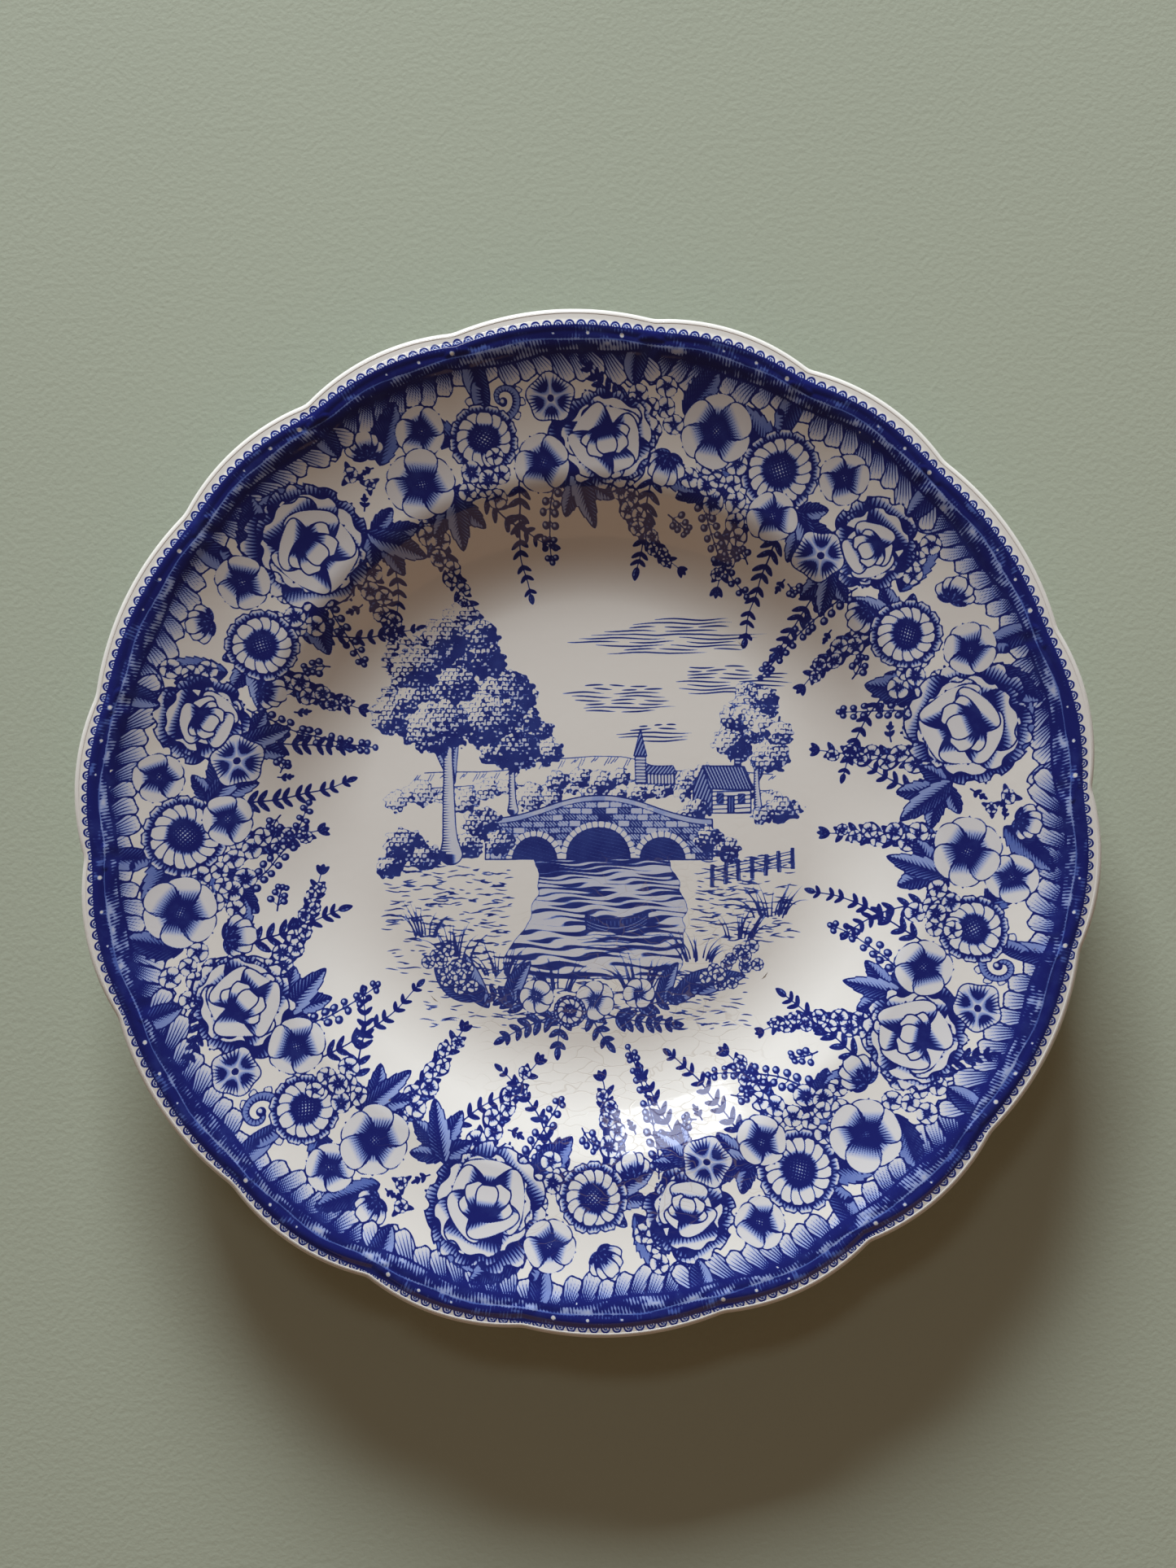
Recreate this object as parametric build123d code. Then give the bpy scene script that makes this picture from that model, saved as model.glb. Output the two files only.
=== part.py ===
from build123d import *
import math
import os

# Dinner plate of transfer-printed earthenware, in millimetres.
# The origin is the centre of the foot ring's standing plane, +Z runs up the plate's axis,
# and one of the rim's six deep notches lies on +X.

# Rim outline: eighteen lobes in six like groups of narrow, wide, narrow.
RIM_RADIUS = 135.0            # to the peak of a lobe
GROUPS = 6
GROUP_ANGLE = 360.0 / GROUPS
NARROW_LOBE = 18.5            # degrees; the wide lobe takes the rest of its group
DEEP_NOTCH = 2.65             # between two groups, measured inwards from the peaks
SHALLOW_NOTCH = 1.75          # inside a group
NOTCH_FILLET = 5.0

# Upper face, from the axis outwards: radius and slope in degrees at each station.
# Tangent arcs and lines join them: floor, curve, wall, shoulder, marly, turn into the brim.
FLOOR_HEIGHT = 7.4
FACE = ((0.0, 0.0), (60.0, 0.0), (80.0, 26.0), (89.0, 26.0), (95.5, 8.0), (127.0, 20.0), (129.5, 0.0))
BACKED = slice(1, 5)          # stations from the curve to the shoulder, which the back follows
BRIM_START = 129.8            # inside it the plate is turned, outside it is cut to the lobes

# Back of the plate: even thickness to the shoulder, then thinning to the brim.
WALL = 4.4
BRIM = 3.0
BRIM_BACK_START = 127.0
BRIM_BACK_BLEND = 10.0
LIP_ROUND = 1.45

# Foot ring: standing radius, half widths at the foot and at the root, and its roundings.
FOOT_RADIUS = 74.0
FOOT_HALF_FLAT = 1.2
FOOT_HALF_ROOT = 2.5
FOOT_ROUND = 0.9
FOOT_ROOT_FILLET = 1.3
BASE_HEIGHT = 3.0             # underside inside the ring

# Raised cords, one along each lobe, that cross inside the notches.
CORD_INSET = 4.6              # crest line, from the lobe's edge
CORD_WIDTH = 2.2
CORD_HEIGHT = 0.5
CORD_ROOT = 1.0               # depth to which it runs into the brim
CORD_OVERRUN = 2.5            # length past each notch
CORD_TAPER = 50.0             # degrees of its flanks from upright

# The two printed layers: glazed transfers let into the face.
PRINT = 0.2
PRINT_INSET = 1.6             # bare margin inside the edge
CENTRE_PRINT_RADIUS = 64.0
CLEARANCE_HEIGHT = 40.0       # above every point of the plate


def unit(angle):
    """Direction in the plan, from degrees."""
    return Vector(math.cos(math.radians(angle)), math.sin(math.radians(angle)))


def lobe_arcs(inset=0.0):
    """The eighteen lobes as arcs of the plan, each from notch to notch over its peak."""
    reach = RIM_RADIUS - inset
    angles = (0.0, NARROW_LOBE, GROUP_ANGLE - NARROW_LOBE, GROUP_ANGLE)
    radii = [reach - depth for depth in (DEEP_NOTCH, SHALLOW_NOTCH, SHALLOW_NOTCH, DEEP_NOTCH)]
    arcs = []
    for group in range(GROUPS):
        turn = group * GROUP_ANGLE
        for k in range(3):
            start, end = turn + angles[k], turn + angles[k + 1]
            peak = unit((start + end) / 2) * reach
            arcs.append(Edge.make_three_point_arc(unit(start) * radii[k], peak, unit(end) * radii[k + 1]))
    return arcs


def scalloped(inset=0.0):
    """The rim's outline, or the same line further in, with every notch rounded."""
    sharp = Face(Wire(lobe_arcs(inset)))
    return sharp.fillet_2d(NOTCH_FILLET + inset, sharp.vertices())


def meridian(drop):
    """The face's profile in the XZ plane as tangent arcs and lines, lowered square to itself."""
    edges = []
    height = FLOOR_HEIGHT
    for (r0, a0), (r1, a1) in zip(FACE, FACE[1:]):
        slope0, slope1 = math.radians(a0), math.radians(a1)
        start = Vector(r0 + drop * math.sin(slope0), 0, height - drop * math.cos(slope0))
        if a0 == a1:
            height += (r1 - r0) * math.tan(slope0)
            end = Vector(r1 + drop * math.sin(slope1), 0, height - drop * math.cos(slope1))
            edges.append(Edge.make_line(start, end))
            continue
        bend = (r1 - r0) / (math.sin(slope1) - math.sin(slope0))
        centre = Vector(r0 - bend * math.sin(slope0), 0, height + bend * math.cos(slope0))
        height = centre.Z - bend * math.cos(slope1)
        half = (slope0 + slope1) / 2
        middle = centre + Vector(math.sin(half), 0, -math.cos(half)) * (bend + drop)
        end = centre + Vector(math.sin(slope1), 0, -math.cos(slope1)) * (bend + drop)
        edges.append(Edge.make_three_point_arc(start, middle, end))
    return edges


FACE_LINE = meridian(0.0)
BRIM_HEIGHT = (FACE_LINE[-1] @ 1).Z


def polyline(points):
    return [Edge.make_line(start, end) for start, end in zip(points, points[1:])]


def rounded(profile, point, radius):
    """The profile with its corner at a point rounded."""
    corner = profile.vertices().sort_by_distance(point)[0]
    return profile.fillet_2d(radius, [corner])


def turned_middle():
    """Floor, wall, shoulder, marly and foot ring, turned from one profile out to the brim."""
    curve, wall, shoulder = meridian(WALL)[BACKED.start:BACKED.stop - 1]
    marly_middle = meridian((WALL + BRIM) / 2)[BACKED.stop - 1] @ 0.5
    heel_cut = curve.intersect(Plane.YZ.offset(FOOT_RADIUS + FOOT_HALF_ROOT)).vertices()[0].center()
    curve = curve.trim(curve.param_at_point(heel_cut), 1.0)
    brim = [
        FACE_LINE[-1] @ 1,
        Vector(BRIM_START, 0, BRIM_HEIGHT),
        Vector(BRIM_START, 0, BRIM_HEIGHT - BRIM),
        Vector(BRIM_BACK_START, 0, BRIM_HEIGHT - BRIM),
    ]
    marly_back = Edge.make_three_point_arc(brim[-1], marly_middle, shoulder @ 1)
    foot = [
        curve @ 0,
        Vector(FOOT_RADIUS + FOOT_HALF_FLAT, 0, 0),
        Vector(FOOT_RADIUS - FOOT_HALF_FLAT, 0, 0),
        Vector(FOOT_RADIUS - FOOT_HALF_ROOT, 0, BASE_HEIGHT),
        Vector(0, 0, BASE_HEIGHT),
        Vector(0, 0, FLOOR_HEIGHT),
    ]
    edges = FACE_LINE + polyline(brim) + [marly_back, shoulder, wall, curve] + polyline(foot)
    profile = Face(Wire(edges))
    profile = rounded(profile, brim[3], BRIM_BACK_BLEND)
    for corner, radius in ((foot[0], FOOT_ROOT_FILLET), (foot[1], FOOT_ROUND),
                           (foot[2], FOOT_ROUND), (foot[3], FOOT_ROOT_FILLET)):
        profile = rounded(profile, corner, radius)
    return revolve(profile, Axis.Z)


def scalloped_brim():
    """Flat brim cut to the lobes, with a full-round lip."""
    back = BRIM_HEIGHT - BRIM
    slab = Pos(0, 0, back) * extrude(scalloped(), BRIM)
    lip_edges = slab.faces().sort_by(Axis.Z)[0].edges() + slab.faces().sort_by(Axis.Z)[-1].edges()
    slab = fillet(lip_edges, LIP_ROUND)
    return slab - Pos(0, 0, back) * Cylinder(BRIM_START, BRIM, align=(Align.CENTER, Align.CENTER, Align.MIN))


def cords(shrink):
    """The raised cords as round-ended strips with sloping flanks that cross inside the notches."""
    root = BRIM_HEIGHT - CORD_ROOT
    strips = []
    for lobe in lobe_arcs():
        centre = lobe.arc_center
        reach = lobe.radius - CORD_INSET
        overrun = math.degrees(CORD_OVERRUN / reach)
        first, last = (Vector(lobe @ share) - centre for share in (0, 1))
        start = math.degrees(math.atan2(first.Y, first.X)) - overrun
        end = start + first.get_angle(last) + 2 * overrun
        path = Edge.make_circle(reach, Plane(centre), start_angle=start, end_angle=end)
        foot = SlotArc(path, CORD_WIDTH - 2 * shrink)
        strip = extrude(foot, CORD_ROOT - shrink)
        strip += Pos(0, 0, CORD_ROOT - shrink) * extrude(foot, CORD_HEIGHT, taper=CORD_TAPER)
        strips.append(Pos(0, 0, root) * strip)
    return strips


def print_space():
    """All the room above the printed zone, down to the seats of the printed layers."""
    seat = meridian(PRINT)
    reach = RIM_RADIUS + BRIM
    border = [
        seat[-1] @ 1,
        Vector(reach, 0, (seat[-1] @ 1).Z),
        Vector(reach, 0, CLEARANCE_HEIGHT),
        Vector(0, 0, CLEARANCE_HEIGHT),
        seat[0] @ 0,
    ]
    space = revolve(Face(Wire(seat + polyline(border))), Axis.Z)
    zone = extrude(scalloped(PRINT_INSET), CLEARANCE_HEIGHT)
    return (space & zone) - cords(PRINT)


def build_nodes():
    """The three nodes: the body and the two printed layers that fill its face."""
    plate = turned_middle() + scalloped_brim() + cords(0.0)
    space = print_space()
    layers = plate & space
    centre_zone = Cylinder(CENTRE_PRINT_RADIUS, 2 * CLEARANCE_HEIGHT)
    return {
        "earthenware_body": plate - space,
        "centre_print": layers & centre_zone,
        "border_print": layers - centre_zone,
    }


if __name__ == "__main__":
    os.makedirs("parts", exist_ok=True)
    for name, shape in build_nodes().items():
        export_step(shape.solid(), f"parts/{name}.step")
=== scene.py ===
import math

import bpy
import numpy as np
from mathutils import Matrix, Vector
from bpy.props import FloatProperty, FloatVectorProperty, IntProperty, PointerProperty


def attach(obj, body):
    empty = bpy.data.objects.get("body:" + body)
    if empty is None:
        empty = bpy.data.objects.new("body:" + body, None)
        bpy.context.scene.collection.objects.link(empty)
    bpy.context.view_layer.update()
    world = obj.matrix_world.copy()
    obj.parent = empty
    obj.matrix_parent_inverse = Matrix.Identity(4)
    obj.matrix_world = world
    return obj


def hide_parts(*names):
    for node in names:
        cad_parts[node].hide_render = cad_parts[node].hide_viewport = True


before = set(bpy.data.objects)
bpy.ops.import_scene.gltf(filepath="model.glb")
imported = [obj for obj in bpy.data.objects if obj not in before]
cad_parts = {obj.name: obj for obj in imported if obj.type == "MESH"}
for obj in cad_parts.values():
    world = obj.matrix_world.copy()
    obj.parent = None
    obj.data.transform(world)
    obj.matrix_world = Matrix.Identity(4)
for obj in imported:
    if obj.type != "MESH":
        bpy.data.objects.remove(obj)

bl_info = {
    "name": "Scalloped Dinner Plate",
    "version": (1, 0, 0),
    "blender": (4, 5, 0),
    "location": "View3D > Sidebar > Plate",
    "description": "Makes a scalloped earthenware dinner plate with printed blue border and centre",
    "category": "Add Mesh",
}

MM = 0.001
BODY = "root"

# Turned face of the plate from the axis outwards, as the stations of its profile:
# radius in millimetres and slope in degrees. Tangent arcs join them.
FLOOR_HEIGHT = 7.4
STATIONS = (
    (0.0, 0.0), (60.0, 0.0), (80.0, 26.0), (89.0, 26.0),
    (95.5, 8.0), (127.0, 20.0), (129.5, 0.0), (140.0, 0.0),
)

# Rim: eighteen lobes in six groups of narrow, wide, narrow.
RIM = 135.0
GROUP = math.radians(60.0)
NARROW = math.radians(18.5)
DEEP_NOTCH = 2.65
SHALLOW_NOTCH = 1.75
NOTCH_ROUND = 0.48

# Where the rings of the face start to follow the scallops, and over how far
FOLLOW_FROM = 108.0
FOLLOW_OVER = 22.0

# Back of the plate
WALL_THICK = 4.4
BRIM_THICK = 3.0
LIP = 1.45
BASE_HEIGHT = 3.0
FOOT_RADIUS = 74.0

# Where the printed layers end, how deep their bed is, and how much thinner than it they are
CENTRE_RADIUS = 64.0
PRINT_EDGE = 1.6
PRINT_DEPTH = 0.2
PRINT_CLEAR = 0.01

# How the transfer was laid: its turn in degrees, and how far off the centre and which way
PRINT_TURN = -4.0
PRINT_SHIFT = 0.8
PRINT_SHIFT_WAY = PRINT_TURN + 262.0

# Step of a printed layer's lower grid in vertices of its upper one, and the bare edge of its UV map
LAYER_STEP = 12
UV_MARGIN = 0.01

# Angle and strength of the valley below each notch of a group
VALLEYS = ((0.0, 1.0), (NARROW, 0.7), (GROUP - NARROW, 0.7), (GROUP, 1.0))

# Half width of the softer inner cord, and over how far it and the main cord fade at their ends
SECOND_HALF_WIDTH = 2.6
SECOND_FADE = 3.0
CORD_FADE = 2.0

BODY_COLUMNS, QUICK_COLUMNS = 720, 240
PRINT_CELL, QUICK_CELL = 0.1, 0.2

CENTRE_FINER = 0.95


# ---------------------------------------------------------------- the plate's form


def profile_table():
    """Radius, sine of the slope and height at each station of the turned face."""
    radius = np.array([r for r, _ in STATIONS])
    sine = np.sin(np.radians([slope for _, slope in STATIONS]))
    cosine = np.sqrt(1 - sine**2)
    rise = np.diff(radius) * (sine[1:] + sine[:-1]) / (cosine[1:] + cosine[:-1])
    return radius, sine, FLOOR_HEIGHT + np.concatenate([[0.0], np.cumsum(rise)])


STATION_RADIUS, STATION_SINE, STATION_HEIGHT = profile_table()


def turned_height(r):
    """Height of the turned face at radius r.

    Between two stations the sine of the slope grows evenly with the radius, which is an arc.
    The rise is the run times the sum of both sines over the sum of both cosines.
    """
    k = np.clip(np.searchsorted(STATION_RADIUS, r, side="right") - 1, 0, len(STATION_RADIUS) - 2)
    r0, r1 = STATION_RADIUS[k], STATION_RADIUS[k + 1]
    s0, s1 = STATION_SINE[k], STATION_SINE[k + 1]
    s = s0 + (s1 - s0) * (r - r0) / (r1 - r0)
    return STATION_HEIGHT[k] + (r - r0) * (s0 + s) / (np.sqrt(1 - s0**2) + np.sqrt(1 - s**2))


def lobe_circles():
    """Direction and distance of its centre, radius, and both ends, of each lobe that bears on one group.

    A lobe's circle goes through its notch, its peak and its other notch. The centre solves two
    lines: twice a difference of two points, dot the centre, is the difference of their squares.
    """
    deep, shallow = RIM - DEEP_NOTCH, RIM - SHALLOW_NOTCH
    inner = (
        (0.0, deep, NARROW, shallow),
        (NARROW, shallow, GROUP - NARROW, shallow),
        (GROUP - NARROW, shallow, GROUP, deep),
    )
    before, after = inner[-1], inner[0]
    spans = ((before[0] - GROUP, before[1], 0.0, deep), *inner, (GROUP, deep, after[2] + GROUP, after[3]))
    circles = []
    for start, start_reach, end, end_reach in spans:
        angles = np.array([start, (start + end) / 2, end])
        reaches = np.array([start_reach, RIM, end_reach])
        points = np.stack([reaches * np.cos(angles), reaches * np.sin(angles)], -1)
        centre = np.linalg.solve(2 * (points[1:] - points[:1]), reaches[1:] ** 2 - reaches[0] ** 2)
        radius = np.linalg.norm(points[0] - centre)
        circles.append((math.atan2(centre[1], centre[0]), np.linalg.norm(centre), radius, start, end))
    return circles


LOBES = lobe_circles()


def round_max(a, b, width):
    """The larger of two values, with the corner where they meet rounded over a width.

    What is left of the width past their difference, squared, over four widths is added.
    """
    return np.maximum(a, b) + np.maximum(width - np.abs(a - b), 0) ** 2 / (4 * width)


def rim_reach(theta, rounding=NOTCH_ROUND):
    """Radius of the scalloped outline at an angle.

    It is the ray's furthest crossing with any lobe circle, rounded where two lobes meet: the centre
    distance times the cosine, plus the root of the radius squared less the sine part squared.
    """
    t = np.mod(theta, GROUP)
    reach = np.zeros_like(t)
    for direction, centre, radius, _, _ in LOBES:
        off = t - direction
        under = radius**2 - (centre * np.sin(off)) ** 2
        crossing = np.where(under > 0, centre * np.cos(off) + np.sqrt(np.maximum(under, 0)), 0.0)
        reach = round_max(reach, crossing, rounding)
    return reach


def bump(t):
    """A smooth hill of height one that ends at t = 1 and t = -1: one less t squared, squared."""
    return np.maximum(1 - t * t, 0) ** 2


def ease(t):
    """Goes from 0 to 1 with level ends as t does: t squared, times three less two t."""
    t = np.clip(t, 0, 1)
    return t * t * (3 - 2 * t)


def relief(r, theta, shape):
    """Moulded relief of the brim in millimetres: cords, the valleys below the notches, a falling margin.

    A cord is a hill across the distance inside its own lobe's circle, and fades past the lobe's
    ends. A valley is a bell across the notch's ray, which fades towards the well.
    """
    t = np.mod(theta, GROUP)
    height = np.zeros(np.broadcast_shapes(r.shape, theta.shape))
    inside = np.full_like(height, -100.0)
    for direction, centre, radius, start, end in LOBES:
        depth = radius - np.sqrt(r**2 + centre**2 - 2 * r * centre * np.cos(t - direction))
        past = (np.abs(t - (start + end) / 2) - (end - start) / 2) * RIM
        cord = shape.cord_height * bump((depth - shape.cord_inset) / shape.cord_half_width)
        cord = cord * (1 - ease((past - shape.cord_overrun) / CORD_FADE))
        inner = shape.second_height * bump((depth - shape.second_inset + 0.05 * past) / SECOND_HALF_WIDTH)
        inner = inner * (1 - ease((past + SECOND_FADE) / SECOND_FADE))
        height = np.maximum(height, np.maximum(cord, inner))
        inside = np.maximum(inside, depth)
    for notch, strength in VALLEYS:
        across = (t - notch) * r / (2.4 + 0.12 * inside)
        along = ease((inside - 4.0) / 4.0) * (1 - ease((inside - 8.0) / 13.0))
        height = height - shape.valley_depth * strength * np.exp(-(across**2)) * along
    return height - shape.margin_fall * (1 - ease((inside - 1.4) / 2.4))


def place(rho, theta):
    """Plan radius of the ring rho at an angle: near the rim the rings follow the scallops."""
    return rho + (rim_reach(theta) - RIM) * ease((rho - FOLLOW_FROM) / FOLLOW_OVER)


def face_points(rho, theta, shape):
    """Points of the upper face in millimetres, from the ring rho and the angle."""
    r = place(rho, theta)
    z = turned_height(rho) + np.where(rho > 100.0, relief(r, theta, shape), 0.0)
    return np.stack(np.broadcast_arrays(r * np.cos(theta), r * np.sin(theta), z), -1)


def grid_normals(points):
    """Unit normals of a grid of points whose outermost rows and columns are only there for this.

    A normal is the cross product of the steps from the last to the next point, along and across.
    """
    along = points[2:, 1:-1] - points[:-2, 1:-1]
    across = points[1:-1, 2:] - points[1:-1, :-2]
    normal = np.cross(along, across)
    return normal / np.maximum(np.linalg.norm(normal, axis=-1, keepdims=True), 1e-12)


# ---------------------------------------------------------------- engraving tools


# Over how many millimetres a line's value falls by one, and the size and start of the hand's sway
SOFT = 0.5
SWAY_SIZE = 6.5
SWAY_START = 200

# Values along one side of the square from which even noise is made
LATTICE = 64


class Engraving:
    """A square sheet of print in the plan, in millimetres, held as two layers of cells.

    Every shape and line is drawn with a slight sway, as by hand: its offsets are moved by two
    smooth noises, times freedom in millimetres. wash is the strength of the flat tint. line is
    one half on the edge of every line and goes up towards the line's middle, so that a line
    stays sharp where it is read between cells.
    """

    def __init__(self, half, cell):
        """Make an empty sheet that reaches half from the plate's axis each way."""
        self.half, self.cell = half, cell
        self.count = int(round(2 * half / cell))
        self.wash = np.zeros((self.count, self.count), np.float32)
        self.line = np.zeros((self.count, self.count), np.float32)
        self.turn = 0.0
        self.shift = (0.0, 0.0)
        axis = (np.arange(self.count, dtype=np.float32) + 0.5) * cell + SWAY_START
        self.sway = [
            (smooth_noise(axis[None, :], axis[:, None], SWAY_SIZE, seed) - 0.5).astype(np.float32)
            for seed in (31, 32)
        ]
        self.freedom = 1.0

    def soften(self):
        """Blur both layers over three cells, so that they can be read at points further apart."""
        for layer in (self.wash, self.line):
            layer[1:-1] = (layer[:-2] + layer[1:-1] + layer[2:]) / 3
            layer[:, 1:-1] = (layer[:, :-2] + layer[:, 1:-1] + layer[:, 2:]) / 3

    def read(self, points):
        """Both layers at points of the plan, each blended from the four cells round a point.

        shift is how far off the plate's centre the finished print lies.
        """
        column, row = (
            np.clip((points[..., k] - self.shift[k] + self.half) / self.cell - 0.5, 0, self.count - 1.001)
            for k in (0, 1)
        )
        i, j = row.astype(int), column.astype(int)
        v, u = row - i, column - j

        def blend(a):
            """The four cells' mean, weighted by how near each is."""
            low = a[i, j] * (1 - u) + a[i, j + 1] * u
            high = a[i + 1, j] * (1 - u) + a[i + 1, j + 1] * u
            return low * (1 - v) + high * v

        return [("tint", blend(self.wash)), ("line", blend(self.line))]

    def turned(self, x, y):
        """A place after the sheet's turn, which repeats a drawing round the plate."""
        c, s = math.cos(self.turn), math.sin(self.turn)
        return x * c - y * s, x * s + y * c

    def window(self, x, y, reach):
        """Slices of the cells within reach of a point, and their offsets from it, swayed as by hand."""
        low = [min(max(int((c - reach + self.half) / self.cell), 0), self.count) for c in (x, y)]
        high = [min(max(int((c + reach + self.half) / self.cell) + 2, 0), self.count) for c in (x, y)]
        dx = (np.arange(low[0], high[0], dtype=np.float32) + 0.5) * self.cell - self.half - x
        dy = (np.arange(low[1], high[1], dtype=np.float32) + 0.5) * self.cell - self.half - y
        cells = slice(low[1], high[1]), slice(low[0], high[0])
        sway_x, sway_y = (self.freedom * layer[cells] for layer in self.sway)
        return cells, dx[None, :] + sway_x, dy[:, None] + sway_y

    def stamp(self, cells, away, wash, hatch, outline):
        """Lay one shape over what is there, from the distance outside its edge."""
        edge = 0.5 - (np.abs(away) - outline / 2) / SOFT if outline else -1.0
        within = away < 0
        self.line[cells] = np.where(within, np.maximum(hatch, edge), np.maximum(self.line[cells], edge))
        self.wash[cells] = np.where(within, wash, self.wash[cells])

    def shape(self, x, y, turn, reach, painter, outline=0.3):
        """Paint one outlined shape. The painter gives a field, negative inside, the tint and the lines.

        All are functions of u and v, the offsets along and across the direction turn. The distance
        to the shape's edge is the field over its own steepness.
        """
        x, y = self.turned(x, y)
        cells, dx, dy = self.window(x, y, reach)
        if dx.size < 3 or dy.size < 3:
            return
        c, s = math.cos(turn + self.turn), math.sin(turn + self.turn)
        field, wash, hatch = painter(dx * c + dy * s, dy * c - dx * s)
        down, across = np.gradient(field, self.cell)
        away = field / np.maximum(np.hypot(down, across), 1e-3)
        self.stamp(cells, away, wash, hatch, outline)

    def path(self, points, widths):
        """Cells near a path, the distance outside its band, and the run and side there.

        On each stretch the nearest point is a share of its length, kept from 0 to 1. The distance
        to it, less half the width there, is compared, and the nearest stretch's is kept.
        """
        points = np.stack(self.turned(*np.asarray(points, np.float64).T), -1)
        widths = np.broadcast_to(np.asarray(widths, np.float64), (len(points),))
        middle = (points.min(0) + points.max(0)) / 2
        reach = (points.max(0) - points.min(0)).max() / 2 + widths.max() / 2 + 0.6
        cells, dx, dy = self.window(middle[0], middle[1], reach)
        px, py = dx + middle[0], dy + middle[1]
        shape = np.broadcast_shapes(px.shape, py.shape)
        best, run, side = np.full(shape, 1e3), np.zeros(shape), np.zeros(shape)
        start = 0.0
        for (x0, y0), (x1, y1), w0, w1 in zip(points, points[1:], widths, widths[1:]):
            length = max(math.hypot(x1 - x0, y1 - y0), 1e-6)
            tx, ty = (x1 - x0) / length, (y1 - y0) / length
            t = np.clip(((px - x0) * tx + (py - y0) * ty) / length, 0, 1)
            off_x, off_y = px - x0 - t * (x1 - x0), py - y0 - t * (y1 - y0)
            away = np.hypot(off_x, off_y) - (w0 + (w1 - w0) * t) / 2
            nearer = away < best
            best = np.where(nearer, away, best)
            run = np.where(nearer, start + t * length, run)
            side = np.where(nearer, off_y * tx - off_x * ty, side)
            start += length
        return cells, best, run, side

    def stroke(self, points, widths=0.34):
        """Draw a dark line along a path."""
        cells, away, _, _ = self.path(points, widths)
        self.line[cells] = np.maximum(self.line[cells], 0.5 - away / SOFT)

    def scratch(self, points, widths=0.34):
        """Clear a white line along a path."""
        cells, away, _, _ = self.path(points, widths)
        self.line[cells] = np.minimum(self.line[cells], 0.5 + away / SOFT)
        self.wash[cells] = np.where(away < 0, 0.0, self.wash[cells])

    def ribbon(self, points, widths, wash, ribs=0.9, shade=0.5, outline=0.3):
        """Paint an outlined band along a path, with ribs across it that thicken towards its left side.

        The ribs are a cosine of the run, plus half the side's share of the half width.
        """
        cells, away, run, side = self.path(points, widths)
        wide = np.max(widths) / 2
        hatch = 0.5 + 0.4 * np.cos(run * 2 * math.pi / ribs) + 0.5 * (side / wide - 1.0 + shade)
        self.stamp(cells, away, wash, hatch, outline)


def smooth_noise(x, y, size, seed):
    """Even noise from 0 to 1: random values on a square lattice, eased between."""
    values = np.random.default_rng(seed).random((LATTICE, LATTICE)).astype(np.float32)
    u, v = x / size, y / size
    i, j = np.floor(u).astype(int), np.floor(v).astype(int)
    fu, fv = u - i, v - j
    fu, fv = fu * fu * (3 - 2 * fu), fv * fv * (3 - 2 * fv)
    i0, i1, j0, j1 = i % LATTICE, (i + 1) % LATTICE, j % LATTICE, (j + 1) % LATTICE
    a, b, c, d = values[j0, i0], values[j0, i1], values[j1, i0], values[j1, i1]
    return (a * (1 - fu) + b * fu) * (1 - fv) + (c * (1 - fu) + d * fu) * fv


# ---------------------------------------------------------------- flowers and leaves


def petal(length, width, shade, streak, tips=1, seed=0, fade=1.9):
    """A petal along u: narrow at its root and round at its tip, tinted and streaked near its root.

    Its half width grows as the root of t, the share of the length, and closes as the root of one
    less t to the fourth. The tip waves by a cosine across it. The streaks are a cosine of the
    fan angle. streak is the share of the length that they reach, and fade how quickly they end.
    """
    pitch = 0.85

    def painter(u, v):
        """The petal's field, tint and lines."""
        t = u / length
        half = width / 2 * 1.25 * np.sqrt(np.clip(t, 0, 1)) * np.sqrt(np.clip(1.03 - t**4, 1e-4, 2))
        notch = 0.07 * length * np.cos(v / width * 2 * math.pi * tips) if tips else 0.0
        field = np.maximum(np.abs(v) - half, np.maximum(u - length * 0.97 - notch, -u))
        fan = np.arctan2(v, u + 0.3 * length) * (1.3 * length) * 0.8
        wash = shade * np.clip(0.5 + (streak - t) * fade, 0, 1) + 0.05
        hatch = 0.5 + 0.45 * np.cos(fan * 2 * math.pi / pitch + seed) - fade * (t - streak)
        return field, wash, np.clip(hatch, 0, 1.1)

    return painter


def heart(size, pitch=0.95):
    """The stamens of a flower: a round of light dots on dark, from the product of two cosines."""

    def painter(u, v):
        """The round's field, tint and dots."""
        rho = np.hypot(u, v)
        dots = 0.5 - 0.5 * np.cos(u * 2 * math.pi / pitch) * np.cos(v * 2 * math.pi / pitch)
        return rho - size, 0.1 + 0 * rho, np.clip(dots + 0.22 + 0.3 * (rho / size - 0.6), 0, 1)

    return painter


def blossom(sheet, x, y, turn, size, petals=5, shade=0.55, streak=0.28, middle=0.26):
    """An open flower of broad petals round a heart of stamens.

    A petal is a little wider than the chord of its share of the round, so that they overlap.
    """
    width = 2.12 * size * math.sin(math.pi / petals)
    for k in range(petals):
        leaf = petal(size, width, shade, streak, 1, k)
        sheet.shape(x, y, turn + 2 * math.pi * k / petals, size * 1.1, leaf)
    sheet.shape(x, y, turn, size * middle + 0.7, heart(size * middle))


# The petals of a rose's closed cup: how far each is turned, its length and its width
ROSE_CUP = ((1.0, 0.5, 0.34), (-1.0, 0.5, 0.34), (0.5, 0.6, 0.4), (-0.5, 0.6, 0.4), (0.0, 0.52, 0.42))


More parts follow.
